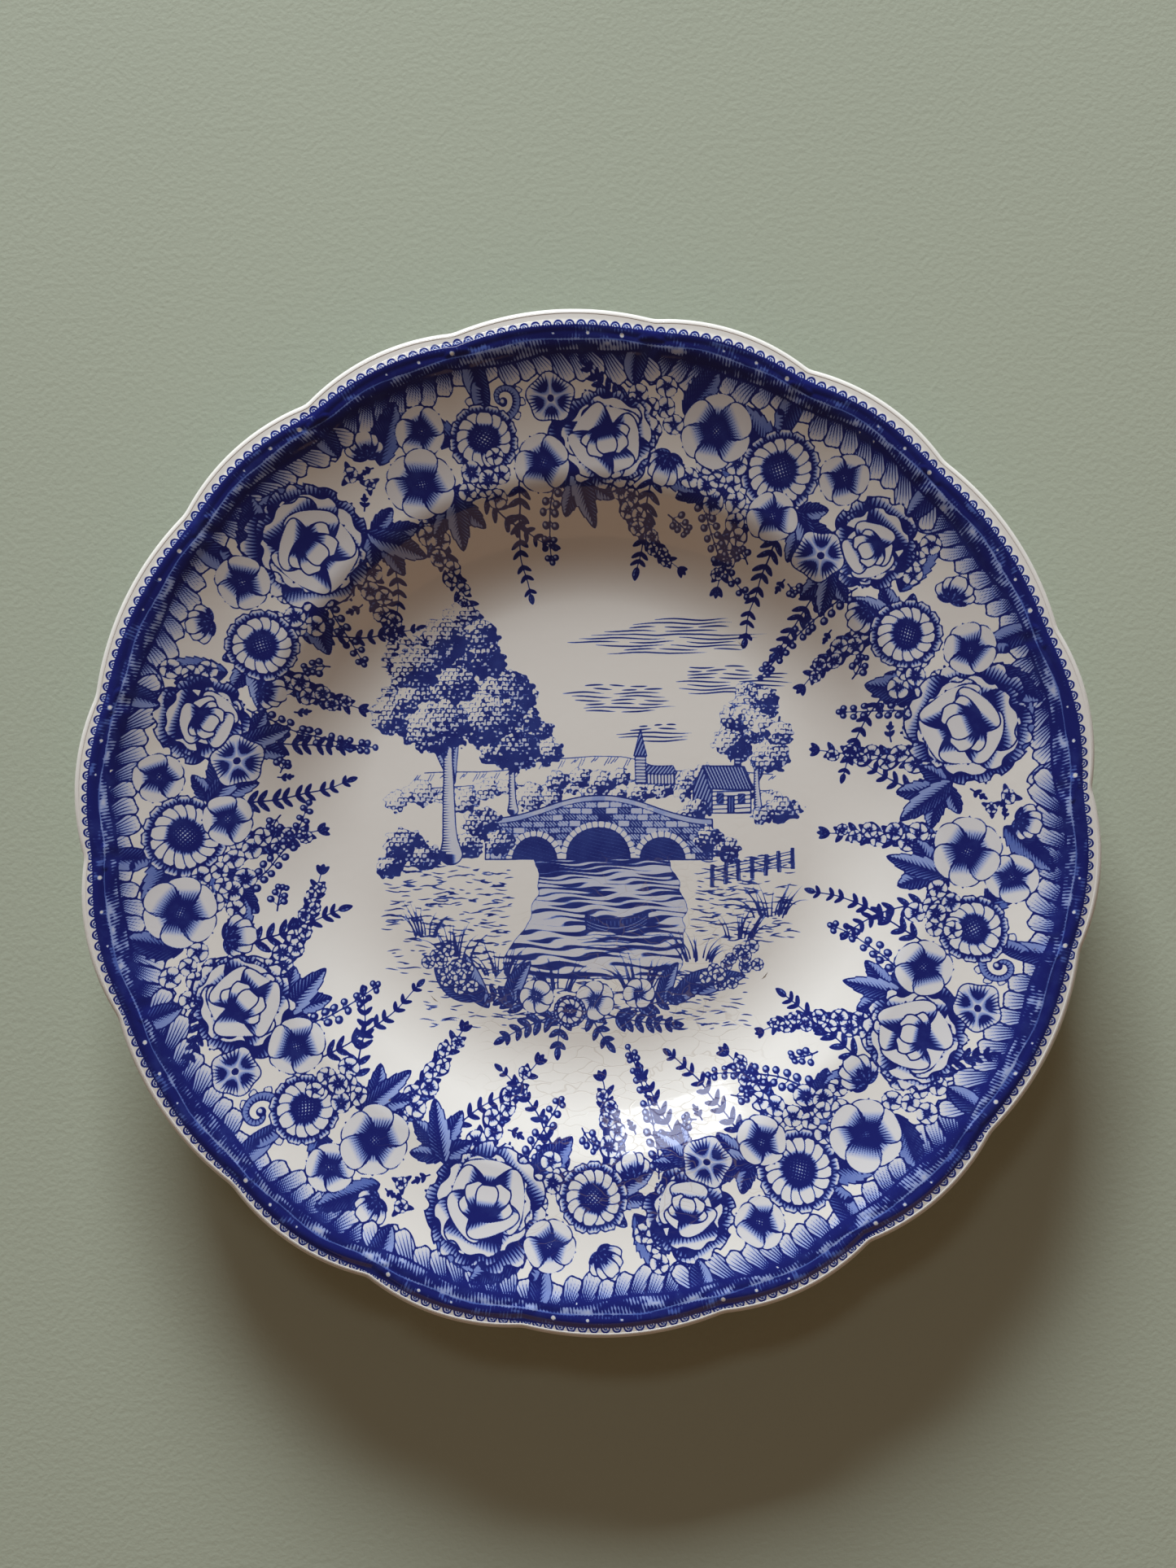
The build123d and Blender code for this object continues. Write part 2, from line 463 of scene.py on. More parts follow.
def rose(sheet, x, y, turn, size, rows=(8, 7, 5), seed=1):
    """A full flower: uneven rows of petals, laid from the outside inwards, round a cup that leans.

    Each row reaches a fifth of the size less than the last. A petal's width is 2.9 times its
    length times the sine of half its share of the round.
    """
    rng = np.random.default_rng(seed)
    lean = np.array([math.cos(turn), math.sin(turn)]) * size
    for row, count in enumerate(rows):
        reach = 1 - 0.2 * row
        cx, cy = (x, y) + lean * 0.06 * row
        for k in rng.permutation(count):
            angle = turn + 2 * math.pi * (k + 0.5 * (row % 2)) / count + rng.uniform(-0.2, 0.2)
            long = size * reach * rng.uniform(0.84, 1.08)
            width = 2.9 * long * math.sin(math.pi / count) * rng.uniform(0.9, 1.12)
            shaded = petal(long, width, 0.95, reach * rng.uniform(0.74, 0.9), 3 - row, k, 3.6)
            sheet.shape(cx, cy, angle, long * 1.15, shaded, 0.36)
    cx, cy = (x, y) - lean * 0.16
    for k, (spread, long, wide) in enumerate(ROSE_CUP):
        folded = petal(size * long, size * wide, 0.95, 0.5 if k < 4 else 0.36, 0, k, 3.2)
        sheet.shape(cx, cy, turn + spread, size * 0.7, folded, 0.36)


def aster(sheet, x, y, turn, size, petals=14):
    """A ray flower: two rounds of slender petals and a heart of stamens in a dark ring."""
    for row, (reach, streak) in enumerate(((1.0, 0.84), (0.8, 0.5))):
        for k in range(petals):
            angle = turn + 2 * math.pi * (k + 0.5 * row) / petals
            width = 2.25 * size * reach * math.sin(math.pi / petals)
            sheet.shape(x, y, angle, size * 1.1, petal(size * reach, width, 0.9, streak, 0, k, 5.5), 0.3)
    sheet.shape(x, y, turn, size * 0.36 + 0.7, heart(size * 0.32, 1.15))


def bindweed(sheet, x, y, turn, size):
    """A trumpet flower from the front: a five-lobed round with a star of light ribs and a dark throat.

    The round's edge waves by the cosine of five times the angle, and the ribs lie where the sine
    of two and a half times the angle is near nothing.
    """

    def face(u, v):
        """The flower's field, tint and lines."""
        rho, phi = np.hypot(u, v), np.arctan2(v, u)
        edge = size * (0.93 + 0.07 * np.cos(5 * phi))
        star = np.abs(np.sin(2.5 * phi)) * rho
        t = rho / size
        hatch = 0.5 + 0.42 * np.cos(phi * round(size * 5.5)) - 2.0 * (np.abs(t - 0.5) - 0.2)
        hatch = hatch - 1.3 * np.clip(0.9 - star / size * 3, 0, 1)
        wash = 0.55 * np.clip(1.2 - np.abs(t - 0.45) * 3.2, 0, 1) * np.clip(star / size * 5, 0, 1) + 0.08
        return rho - edge, wash, np.clip(np.where(t < 0.14, 1.0, hatch), 0, 1)

    sheet.shape(x, y, turn, size * 1.15, face, 0.32)


def leaf(sheet, x, y, turn, length, width, teeth=0, shade=0.5, bend=0.0, vein=1.05):
    """A pointed leaf from its stalk along the direction turn, with a midrib and slanting veins.

    Its half width is a power of t times one less t, cut by a saw wave into teeth. One side is
    darker, as in shade. The veins are a cosine of the length less 1.2 times the side distance.
    """

    def painter(u, v):
        """The leaf's field, tint and veins."""
        t = u / length
        v = v - bend * length * np.clip(t, 0, 1) * (1 - np.clip(t, 0, 1)) * 2
        half = width / 2 * (4 * np.clip(t * (1 - t), 0, 1)) ** 0.75 * (1.16 - 0.32 * t)
        if teeth:
            half = half * (0.92 + 0.2 * np.mod(t * teeth, 1.0))
        field = np.maximum(np.abs(v) - half, np.maximum(-u, u - length))
        slant = (u - np.abs(v) * 1.2) * 2 * math.pi / vein
        near = np.abs(v) / (half + 0.05)
        hatch = 0.5 + 0.4 * np.cos(slant) + np.where(v > 0, 0.26 - 0.25 * near, 0.12 - 0.75 * near)
        rib = 0.5 - (np.abs(v) - 0.13) / SOFT
        wash = shade * np.where(v > 0, 1.2, 0.8) * (1.1 - 0.35 * t)
        return field, np.clip(wash, 0, 1), np.clip(np.maximum(hatch, rib), 0, 1.1)

    sheet.shape(x, y, turn, length * 1.05, painter, 0.3)


def lobed_leaf(sheet, x, y, turn, length):
    """A leaf of five pointed lobes, the side ones set up along the midrib."""
    for side in (-1, 1):
        for up, lean, long, wide, teeth in ((0.1, 1.25, 0.5, 0.26, 4), (0.25, 0.68, 0.62, 0.28, 5)):
            leaf(sheet, x + up * length * math.cos(turn), y + up * length * math.sin(turn),
                 turn + side * lean, length * long, length * wide, teeth, 0.62)
    leaf(sheet, x, y, turn, length, length * 0.34, 6, 0.5)


def ball(sheet, x, y, size, wash=0.6):
    """A berry with a light spot, which fades with the distance from a point up its left side."""

    def painter(u, v):
        """The berry's field, tint and shade."""
        shine = np.clip(1.2 - np.hypot(u + size * 0.3, v - size * 0.3) / (size * 0.5), 0, 1)
        rho = np.hypot(u, v)
        return rho - size, wash * (1 - shine), 0.42 - 0.9 * shine + 0.35 * (rho / size)

    sheet.shape(x, y, -sheet.turn, size + 0.6, painter, 0.28)


def bow(x, y, turn, length, bend, steps=14):
    """Points of a stem that leaves a point in a direction and bends evenly, and the direction at each."""
    angle = turn + bend * np.linspace(0, 1, steps)
    step = length / (steps - 1)
    xs = x + np.concatenate([[0.0], np.cumsum(np.cos(angle[:-1]))]) * step
    ys = y + np.concatenate([[0.0], np.cumsum(np.sin(angle[:-1]))]) * step
    return np.stack([xs, ys], 1), angle


# Points along a stem
STEM_POINTS = 24


def stem(sheet, x, y, turn, length, bend, root=0.42):
    """Draw a bending stem that thins evenly from its root. Gives its points and the direction at each."""
    points, angle = bow(x, y, turn, length, bend, STEM_POINTS)
    sheet.stroke(points, np.linspace(root, 0.24, STEM_POINTS))
    return points, angle


def point_at(t):
    """The number of the stem's point that lies at a share of its length."""
    return min(int(t * (STEM_POINTS - 1)), STEM_POINTS - 1)


def twig(sheet, x, y, turn, length, bend=0.0, size=3.0, gap=2.4, slim=0.42, spread=0.85, shade=0.75):
    """A stem with pairs of small leaves that shorten evenly towards its tip."""
    points, angle = stem(sheet, x, y, turn, length, bend)
    count = max(int(length / gap), 1)
    for k in range(count):
        t = (k + 0.9) / (count + 0.3)
        i = point_at(t)
        long = size * (1.05 - 0.5 * t)
        for side in (-1, 1):
            leaf(sheet, *points[i], angle[i] + side * spread, long, long * slim, 0, shade)
    leaf(sheet, *points[-1], angle[-1], size * 0.75, size * 0.34, 0, shade)


def berries(sheet, x, y, turn, length, bend=0.0, size=0.78, gap=1.9, seed=3):
    """A stem with round berries on short stalks, which shorten evenly towards its tip."""
    rng = np.random.default_rng(seed)
    points, angle = stem(sheet, x, y, turn, length, bend, 0.4)
    count = max(int(length / gap), 2)
    for k in range(count):
        t = (k + 0.9) / (count + 0.5)
        i = point_at(t)
        for side in (-1, 1):
            reach = (2.5 - 1.3 * t) * rng.uniform(0.85, 1.15)
            away = angle[i] + side * rng.uniform(0.7, 1.1)
            bx, by = points[i] + reach * np.array([math.cos(away), math.sin(away)])
            sheet.stroke([points[i], (bx, by)], 0.24)
            ball(sheet, bx, by, size * (1.1 - 0.35 * t))
    ball(sheet, *points[-1], size * 0.75)


def florets(sheet, x, y, turn, size, count=7, seed=5):
    """A head of small flowers packed in a round: each 2.4 radians on, out by the root of its number."""
    rng = np.random.default_rng(seed)
    for k in reversed(range(count)):
        angle, reach = turn + 2.4 * k, size * 1.12 * math.sqrt(k)
        blossom(sheet, x + reach * math.cos(angle), y + reach * math.sin(angle), rng.uniform(0, 6),
                size * rng.uniform(0.9, 1.1), 5, rng.uniform(0.2, 0.9), rng.uniform(0.2, 0.5), 0.24)


def garland(sheet, x, y, turn, length, bend=0.0, size=2.6, seed=7):
    """A hanging stem of small open flowers that lessen towards its tip, with leaves between them."""
    rng = np.random.default_rng(seed)
    points, angle = stem(sheet, x, y, turn, length, bend)
    count = max(int(length / (size * 1.25)), 2)
    for k in range(count):
        t = (k + 0.5) / (count + 0.6)
        i, side = point_at(t), 1 - 2 * (k % 2)
        now = size * (1.1 - 0.55 * t)
        away = angle[i] + side * 1.25
        for spread in (-0.9, 0.6):
            leaf(sheet, *points[i], angle[i] + side * spread, now * 1.9, now * 0.75, 0, 0.8)
        bx, by = points[i][0] + now * 0.55 * math.cos(away), points[i][1] + now * 0.55 * math.sin(away)
        way, shade, streak = rng.uniform(0, 6), rng.uniform(0.3, 0.9), rng.uniform(0.2, 0.5)
        blossom(sheet, bx, by, way, now, 5, shade, streak, 0.24)
    for spread in (-0.6, 0.0, 0.6):
        leaf(sheet, *points[-1], angle[-1] + spread, size * 1.1, size * 0.45, 0, 0.8)


def bud(sheet, x, y, turn, size):
    """A closed flower: folded petals in a cup of sepals."""
    for k, spread in enumerate((-0.8, 0.8, -0.38, 0.38, 0.0)):
        folded = petal(size * (0.96 + 0.06 * k), size * 0.75, 0.75, 0.42, 0, k)
        sheet.shape(x, y, turn + spread, size * 1.15, folded)
    for side in (-1.45, -0.75, 0.75, 1.45, 0.0):
        leaf(sheet, x, y, turn + side, size * 0.6, size * 0.24, 0, 0.85)


def spiral(x, y, turn, size, hand=1, turns=1.35, steps=40):
    """Points of a scroll that starts at a point and curls in: the radius shrinks as the angle grows."""
    t = np.linspace(0, 1, steps)
    radius = size * (1 - t) ** 1.25 + size * 0.13
    phi = hand * t * turns * 2 * math.pi
    px, py = radius * np.cos(phi) - radius[0], radius * np.sin(phi)
    base = turn - hand * math.pi / 2
    c, s = math.cos(base), math.sin(base)
    return np.stack([x + px * c - py * s, y + px * s + py * c], 1)


def scroll(sheet, x, y, turn, size, hand=1, width=2.6, wash=0.5):
    """A curled leaf with a comb of small lobes along its back and a round eye where it ends."""
    points = spiral(x, y, turn, size, hand)
    count = max(int(size / 0.9), 4)
    for k in range(count):
        i = 2 + int(k * 20 / count)
        dx, dy = points[i + 1] - points[i]
        out = math.atan2(dy, dx) - hand * 1.15
        tooth = petal(width * (1.35 - 0.03 * i), width * 0.85, 0.5, 0.2, 0, k)
        sheet.shape(points[i][0], points[i][1], out, width * 1.6, tooth, 0.28)
    sheet.ribbon(points, np.linspace(width, 0.8, len(points)), wash)
    ball(sheet, *points[-1], width * 0.42, 0.3)


# ---------------------------------------------------------------- printed border


# Loops of lace and beads all round, and stems that hang in one third of the border
LACE = 276
BEADS = 90
SPRAYS = 16

# The edge band: radius of its outer edge and mean width, how far in its beads lie and its tone changes
BAND_EDGE = 131.1
BAND_WIDTH = 6.4
BEAD_LINE = 1.9
BAND_CHANGE = 3.2
BEAD_SIZES = (0.62, 0.47, 0.34)

# How often a place is tried for a sprig, with large ones in the first half
SPRIG_TRIES = 2600


def put(sheet, motif, r, a, turn, *values):
    """Draw a motif at a radius and angle, with its direction given from straight outwards, in degrees."""
    x, y = r * math.cos(math.radians(a)), r * math.sin(math.radians(a))
    motif(sheet, x, y, math.radians(a + turn), *values)


def rule(away, width):
    """The line value of a line of a width, from the distance to its middle."""
    return 0.5 - (np.abs(away) - width / 2) / SOFT


def edge_band(sheet):
    """The blue edge band: lace loops outside it, and beads, a light line and mottled hatching on it.

    depth is the distance in from the band's outer edge, which follows two thirds of the scallops.
    Each loop is the upper half of an ellipse, and the inner edge waves by two sines of the angle.
    """
    axis = (np.arange(sheet.count, dtype=np.float32) + 0.5) * sheet.cell - sheet.half
    x, y = np.meshgrid(axis, axis)
    r = np.hypot(x, y)
    ring = (r > 112) & (r < RIM)
    x, y, r = x[ring], y[ring], r[ring]
    theta = np.arctan2(y, x)
    wave = rim_reach(theta, 3.0) - RIM
    depth = BAND_EDGE + 0.7 * wave - r
    pitch = 2 * math.pi * 130 / LACE
    across = (np.mod(theta * LACE / (2 * math.pi), 1.0) - 0.5) * pitch
    loop = (np.hypot(across / 1.1, depth / 1.35) - 1) * 1.15
    eye = (np.hypot(across / 0.42, depth / 0.62) - 1) * 0.45
    lace = np.where(depth < 0.2, np.maximum(rule(loop, 0.38), rule(eye, 0.24)), 0)
    run = theta * 126
    hem = BAND_WIDTH + 0.9 * np.sin(theta * 12 + 0.6) + 0.5 * np.sin(theta * 27) + 0.3 * wave
    grain = smooth_noise(run, depth * 2.5 + 40, 4.6, 4) * 0.55
    grain = grain + smooth_noise(run, depth * 2 + 70, 1.6, 5) * 0.45
    outer = 0.66 + 0.95 * (grain - 0.45) + 0.16 * np.cos(run * 2 * math.pi / 0.9)
    inner = 0.56 + 0.42 * np.cos(run * 2 * math.pi / 0.9 + depth * 1.5) + 1.5 * (grain - 0.46)
    line = np.where(depth < BAND_CHANGE, outer, inner)
    wash = np.where(depth < BAND_CHANGE, 0.64, 0.42 + 0.7 * (grain - 0.4))
    light = np.abs(depth - 3.3 + 0.3 * np.sin(theta * 36)) - 0.17
    line = np.minimum(line, 0.5 + light / SOFT)
    line = np.maximum(line, np.maximum(rule(depth, 0.5), rule(depth - hem, 0.4)))
    beside = (np.mod(theta * BEADS / (2 * math.pi), 1.0) - 0.5) * 2 * math.pi * 127.6 / BEADS
    group = np.mod(np.floor(theta * BEADS / (2 * math.pi)), 5)
    size = np.select([group == k for k in range(len(BEAD_SIZES))], BEAD_SIZES, 0.0)
    bead = np.hypot(beside, depth - BEAD_LINE) - size
    line = np.where(size > 0, np.minimum(line, 0.5 + bead / SOFT), line)
    wash = np.where((size > 0) & (bead < 0), 0.0, wash)
    inside = (depth > 0) & (depth < hem)
    outside = np.maximum(lace, rule(depth - hem, 0.4))
    sheet.line[ring] = np.where(inside, line, np.maximum(sheet.line[ring], outside))
    sheet.wash[ring] = np.where(inside, wash, sheet.wash[ring])


def feathering(sheet):
    """Curled leaf lobes along the inside of the edge band, in runs that deepen and end in a scroll."""
    for run in range(6):
        hand = 1 if run % 2 else -1
        for k in range(10):
            t = k / 9 if hand > 0 else 1 - k / 9
            lean, length = 180 - hand * (18 + 24 * t), 7.6 + 4.6 * t + (k % 3)
            put(sheet, lobe, 127.4, run * 20.0 + 1.0 + k * 2.0, lean, length, 5.3)
        put(sheet, leaf, 128.0, run * 20.0, 180, 15.0 if run % 2 else 11.0, 6.0, 0, 0.6)
    for a, hand in ((19.0, 1), (61.0, -1), (100.0, 1)):
        put(sheet, scroll, 119.5, a, hand * 140, 6.2, hand, 2.6)


def lobe(sheet, x, y, turn, length, width):
    """One hatched lobe of a curled leaf, darker towards its root."""
    sheet.shape(x, y, turn, length * 1.1, petal(length, width, 0.6, 0.45, 0, 1.0, 1.0), 0.34)


def sprays(sheet, seed=5):
    """Stems of leaves, berries and small flowers that hang inwards from the wreath."""
    rng = np.random.default_rng(seed)
    kinds = (twig, garland, berries, twig, garland, berries, twig)
    for k in range(SPRAYS):
        a = (k + rng.uniform(-0.2, 0.2)) * 120 / SPRAYS
        r, end = rng.uniform(92, 97), rng.uniform(60, 67) if k % 2 else rng.uniform(68, 76)
        turn, bend = 180 + rng.uniform(-26, 26), rng.uniform(-0.7, 0.7)
        kind = kinds[k % len(kinds)]
        values = {
            twig: (rng.uniform(3.4, 4.6), 3.1, rng.uniform(0.28, 0.4)),
            garland: (rng.uniform(2.2, 2.8), k),
            berries: (0.9, 2.7, k),
        }
        put(sheet, kind, r, a, turn, r - end, bend, *values[kind])


# The wreath of one third of the border: motif, radius, angle, direction and the motif's own values
WREATH = (
    # leaves and stems behind the flowers
    (leaf, 110, 4, 60, 20, 8.5, 9, 0.75), (leaf, 112, 18, -52, 18, 8.0, 8, 0.75),
    (lobed_leaf, 98, 3, 212, 17), (leaf, 98, 17, 150, 17, 7.5, 8, 0.75), (lobed_leaf, 101, 27, 120, 18),
    (leaf, 104, 33, 20, 17, 7.0, 8, 0.75), (twig, 108, 34, 48, 15, 0.5, 4.0), (lobed_leaf, 97, 44, 214, 16),
    (leaf, 106, 46, -70, 16, 7.0, 7, 0.75), (leaf, 108, 58, 64, 20, 8.4, 9, 0.75),
    (leaf, 101, 62, 128, 18, 8.0, 8, 0.75), (lobed_leaf, 101, 53, 236, 17),
    (leaf, 100, 76, 240, 15, 6.5, 7, 0.75), (leaf, 112, 73, -28, 15, 7.0, 7, 0.75),
    (twig, 112, 80, 70, 16, -0.5, 4.0), (leaf, 106, 86, 58, 17, 7.5, 8, 0.75),
    (lobed_leaf, 97, 88, 196, 17), (leaf, 104, 97, 118, 17, 7.4, 8, 0.75),
    (leaf, 108, 104, 62, 16, 7.0, 7, 0.75), (lobed_leaf, 98, 108, 170, 17),
    (leaf, 110, 116, -44, 17, 7.0, 8, 0.75),
    # flowers
    (florets, 96, 20.5, 0, 2.5, 7), (bud, 113, 27.5, 40, 6.0), (florets, 112, 37, 0, 2.4, 8),
    (bud, 95, 33.5, 190, 6.0), (rose, 105, 11, 184, 16.5), (aster, 99, 27.0, 0, 9.6),
    (blossom, 111.5, 20.8, 10, 6.8, 5, 0.85, 0.42), (rose, 106, 40.5, 160, 11.5, (7, 6, 5), 4),
    (bindweed, 95, 45.5, 0, 7.0), (blossom, 114, 49.5, 12, 6.4, 5, 0.85, 0.42),
    (aster, 107, 57.5, 0, 11.0, 16), (blossom, 96, 55.0, 0, 6.6, 5, 0.85, 0.42),
    (florets, 98, 65.5, 0, 2.6, 8), (blossom, 110, 68.0, 12, 9.4, 6, 0.85, 0.42),
    (bud, 101, 73.5, 170, 7.0), (florets, 112, 77.5, 0, 2.5, 8), (rose, 104, 83.5, 200, 14.0, (8, 6, 5), 6),
    (bindweed, 113.5, 91.0, 0, 6.6), (blossom, 97, 93.0, 20, 7.4, 5, 0.85, 0.42),
    (aster, 106, 101.0, 0, 9.2, 13), (florets, 96, 102, 0, 2.4, 7),
    (blossom, 113, 109.0, 0, 6.4, 5, 0.85, 0.42), (blossom, 101, 112.0, 30, 9.0, 6, 0.85, 0.42),
    (bud, 113, 117.0, -20, 6.0),
)


def fill(sheet, seed=11):
    """Small sprigs in what is still bare between the flowers, the larger ones first."""
    rng = np.random.default_rng(seed)
    for k in range(SPRIG_TRIES):
        r = 120.5 - 38 * rng.random() ** 1.2
        a = rng.uniform(0, 120)
        kind = rng.integers(0, 4)
        size = rng.uniform(3.0, 4.6) if k < SPRIG_TRIES / 2 else rng.uniform(1.7, 2.8)
        x, y = r * math.cos(math.radians(a)), r * math.sin(math.radians(a))
        cells, dx, dy = sheet.window(x, y, size)
        near = (dx**2 + dy**2) < (size * 0.85) ** 2
        if (np.maximum(sheet.wash[cells], sheet.line[cells]) * near).max() > 0.25:
            continue
        turn = rng.uniform(0, 2 * math.pi)
        bend = rng.uniform(-0.5, 0.5)
        bx, by = x - size * 0.9 * math.cos(turn), y - size * 0.9 * math.sin(turn)
        for third in range(3):
            sheet.turn = third * 2 * math.pi / 3
            if kind == 0 and size > 2.4:
                for spread in (-1.0, 1.0, 3.1):
                    leaf(sheet, x, y, turn + spread, size * 1.1, size * 0.42, 0, 0.8)
                blossom(sheet, x, y, turn, size * 0.6, 5, 0.8, 0.35)
            elif kind == 1:
                berries(sheet, bx, by, turn, size * 1.6, bend, 0.8, 2.0)
            else:
                twig(sheet, bx, by, turn, size * 1.5, bend, size * 0.8, size * 0.55)
    sheet.turn = 0.0


def border(sheet):
    """The whole border, three times round alike: lobes, hanging stems, wreath, edge band and sprigs."""
    for third in range(3):
        sheet.turn = third * 2 * math.pi / 3
        feathering(sheet)
        sprays(sheet)
        for motif, r, a, turn, *values in WREATH:
            put(sheet, motif, r, a, turn, *values)
    sheet.turn = 0.0
    edge_band(sheet)
    fill(sheet)


# ---------------------------------------------------------------- printed centre


def area(sheet, corners, wash=0.0, pitch=1.1, slant=0.0, tone=0.3, outline=0.3):
    """Paint a convex patch: the field is the greatest distance outside any of its sides.

    Inside are ruled lines of a pitch and slant, which are thicker where tone is greater.
    """
    corners = np.asarray(corners, float)
    middle = corners.mean(0)
    reach = np.abs(corners - middle).max() + 0.6
    sides = [(a, b) for a, b in zip(corners, np.roll(corners, -1, 0))]

    def painter(u, v):
        """The patch's field, tint and ruled lines."""
        field = np.full(np.broadcast_shapes(u.shape, v.shape), -1e3)
        for a, b in sides:
            normal = np.array([b[1] - a[1], a[0] - b[0]])
            normal = normal / max(np.hypot(*normal), 1e-6)
            du, dv = u + middle[0] - a[0], v + middle[1] - a[1]
            field = np.maximum(field, du * normal[0] + dv * normal[1])
        across = v * math.cos(slant) - u * math.sin(slant)
        return field, wash, 0.5 + 0.45 * np.cos(across * 2 * math.pi / pitch) + (tone - 0.5) * 0.95

    sheet.shape(middle[0], middle[1], 0.0, reach, painter, outline)


def panel(sheet, left, bottom, right, top, *values):
    """Paint an upright rectangle."""
    area(sheet, [(left, bottom), (right, bottom), (right, top), (left, top)], *values)


def clump(sheet, x, y, size, seed=0, dark=0.5, flat=0.85, light=2.3):
    """A mass of leaves: a ragged round of small curls, which thicken into shadow away from the light.

    Each cell of a staggered lattice holds one round, moved a little by noise. Its arc on the side
    of the light is the leaf. Slow noise joins the arcs to dark patches where the shade is deep.
    """
    pitch = 1.5

    def painter(u, v):
        """The mass's field, tint, curls and patches."""
        v = v / flat
        rho, phi = np.hypot(u, v), np.arctan2(v, u)
        ragged = smooth_noise(u + 60 + seed, v + 60, 1.1, seed % 7) - 0.5
        field = rho - size * (0.92 + 0.06 * np.cos(9 * phi + seed)) - ragged * 1.9
        shade = dark - 0.34 * (u * math.cos(light) + v * math.sin(light)) / size
        row = np.floor(v / pitch)
        column = np.floor(u / pitch + 0.5 * np.mod(row, 2))
        cell = column * 7.3 + 300, row * 5.1 + 300
        move_u, move_v = (0.6 * (smooth_noise(*cell, 1.0, seed % 5 + k) - 0.5) for k in (0, 6))
        du = u - (column + 0.5 - 0.5 * np.mod(row, 2)) * pitch - move_u
        dv = v - (row + 0.5) * pitch - move_v
        leaf_round = np.hypot(du, dv) + 1e-3
        lit = (du * math.cos(light) + dv * math.sin(light)) / leaf_round
        wide = np.clip(0.26 + 1.1 * (shade - 0.3), 0.12, 1.0)
        curl = 0.5 + (wide / 2 - np.abs(leaf_round - 0.44 * pitch)) / SOFT - 1.4 * np.clip(0.1 - lit, 0, 1)
        grain = 0.6 * smooth_noise(u + 70 + 2 * seed, v + 70, 0.7, seed % 5)
        grain = grain + 0.4 * smooth_noise(u + 30, v + 30 + seed, 2.1, 9)
        patch = 0.5 + 3.0 * (np.clip(shade - 0.1, 0.0, 0.6) - grain)
        return field, 0.01 + 0.6 * np.clip(shade - 0.36, 0, 1), np.clip(np.maximum(curl, patch), 0, 1)

    sheet.shape(x, y, 0.0, size * 1.2 + 1.2, painter, 0.12)


def tree(sheet, x, y, height, spread, seed=0, dark=0.5, trunk=2.2):
    """A tree: a trunk that forks, then masses of leaves from the back to the front."""
    rng = np.random.default_rng(seed)
    rounds = []
    for _ in range(int(9 + spread * 0.5)):
        t = rng.random()
        level = y + height * (0.42 + 0.55 * t)
        side = rng.uniform(-1, 1) * spread * (1.05 - 0.6 * t) * 0.62
        rounds.append((level, x + side, spread * rng.uniform(0.2, 0.32) * (1.1 - 0.35 * t)))
    for level, cx, size in rounds[::2]:
        clump(sheet, cx, level, size, seed + int(level * 7) % 50, dark + 0.12)
    for _ in range(5):
        lean = rng.uniform(-0.5, 0.5)
        points, _ = bow(x, y + height * 0.3, math.pi / 2 + lean, height * 0.5, -lean * 0.5, 10)
        sheet.ribbon(points, np.linspace(trunk * 0.4, 0.3, 10), 0.3, 0.8, 0.4, 0.24)
    points, _ = bow(x - 0.4, y, math.pi / 2 + 0.06, height * 0.62, -0.12, 12)
    widths = np.concatenate([[trunk * 1.7, trunk * 1.15], np.linspace(trunk, trunk * 0.35, 10)])
    sheet.ribbon(points, widths, 0.12, 0.75, 0.35, 0.28)
    for level, cx, size in rounds[1::2]:
        clump(sheet, cx, level, size, seed + int(level * 5) % 50, dark)


def cloud(sheet, x, y, width, rows, seed=0, pitch=1.0):
    """A bank of cloud from level lines that swell in the middle, longer towards its foot."""
    rng = np.random.default_rng(seed)
    for row in range(rows):
        t = row / max(rows - 1, 1)
        half = width / 2 * (0.3 + 0.7 * math.sin(math.pi * (0.12 + 0.7 * t))) * rng.uniform(0.75, 1.1)
        middle = x + rng.uniform(-0.12, 0.12) * width
        cuts = np.linspace(-half, half, rng.integers(2, 5))
        for a, b in zip(cuts, cuts[1:]):
            a, b = a + rng.uniform(0, 0.08) * width, b - rng.uniform(0, 0.03) * width
            if b - a < 1.5:
                continue
            xs = np.linspace(a, b, 9) + middle
            ys = y - row * pitch + 0.22 * np.sin(xs * 0.35 + row)
            sheet.stroke(np.stack([xs, ys], 1), 0.40 * np.sin(np.linspace(0.25, math.pi - 0.1, 9)) ** 0.6)


def grass(sheet, x, y, width, height, count, seed=0):
    """A tuft of blades that fan out from the ground: each leans and bends as it lies off the middle."""
    rng = np.random.default_rng(seed)
    for _ in range(count):
        t = rng.uniform(-1, 1)
        root, tall, bend = rng.uniform(-0.6, 0.6), rng.uniform(0.6, 1.1), rng.uniform(-0.5, 0.5)
        way = math.pi / 2 - t * 0.45
        points, _ = bow(x + t * width / 2, y + root, way, height * tall, -t * 0.9 + bend, 8)
        sheet.stroke(points, np.linspace(0.42, 0.08, 8))


def ground(sheet, x, y, width, depth, count, seed=0):
    """Short level strokes that lie scattered on the ground."""
    rng = np.random.default_rng(seed)
    for k in range(count):
        px, py = x + rng.uniform(-0.5, 0.5) * width, y - rng.random() * depth
        long = rng.uniform(1.2, 5.0)
        xs = np.linspace(px - long / 2, px + long / 2, 5)
        points = np.stack([xs, py + 0.25 * np.sin(xs * 0.9 + k)], 1)
        sheet.stroke(points, 0.30 * np.array([0.4, 0.9, 1, 0.8, 0.3]))


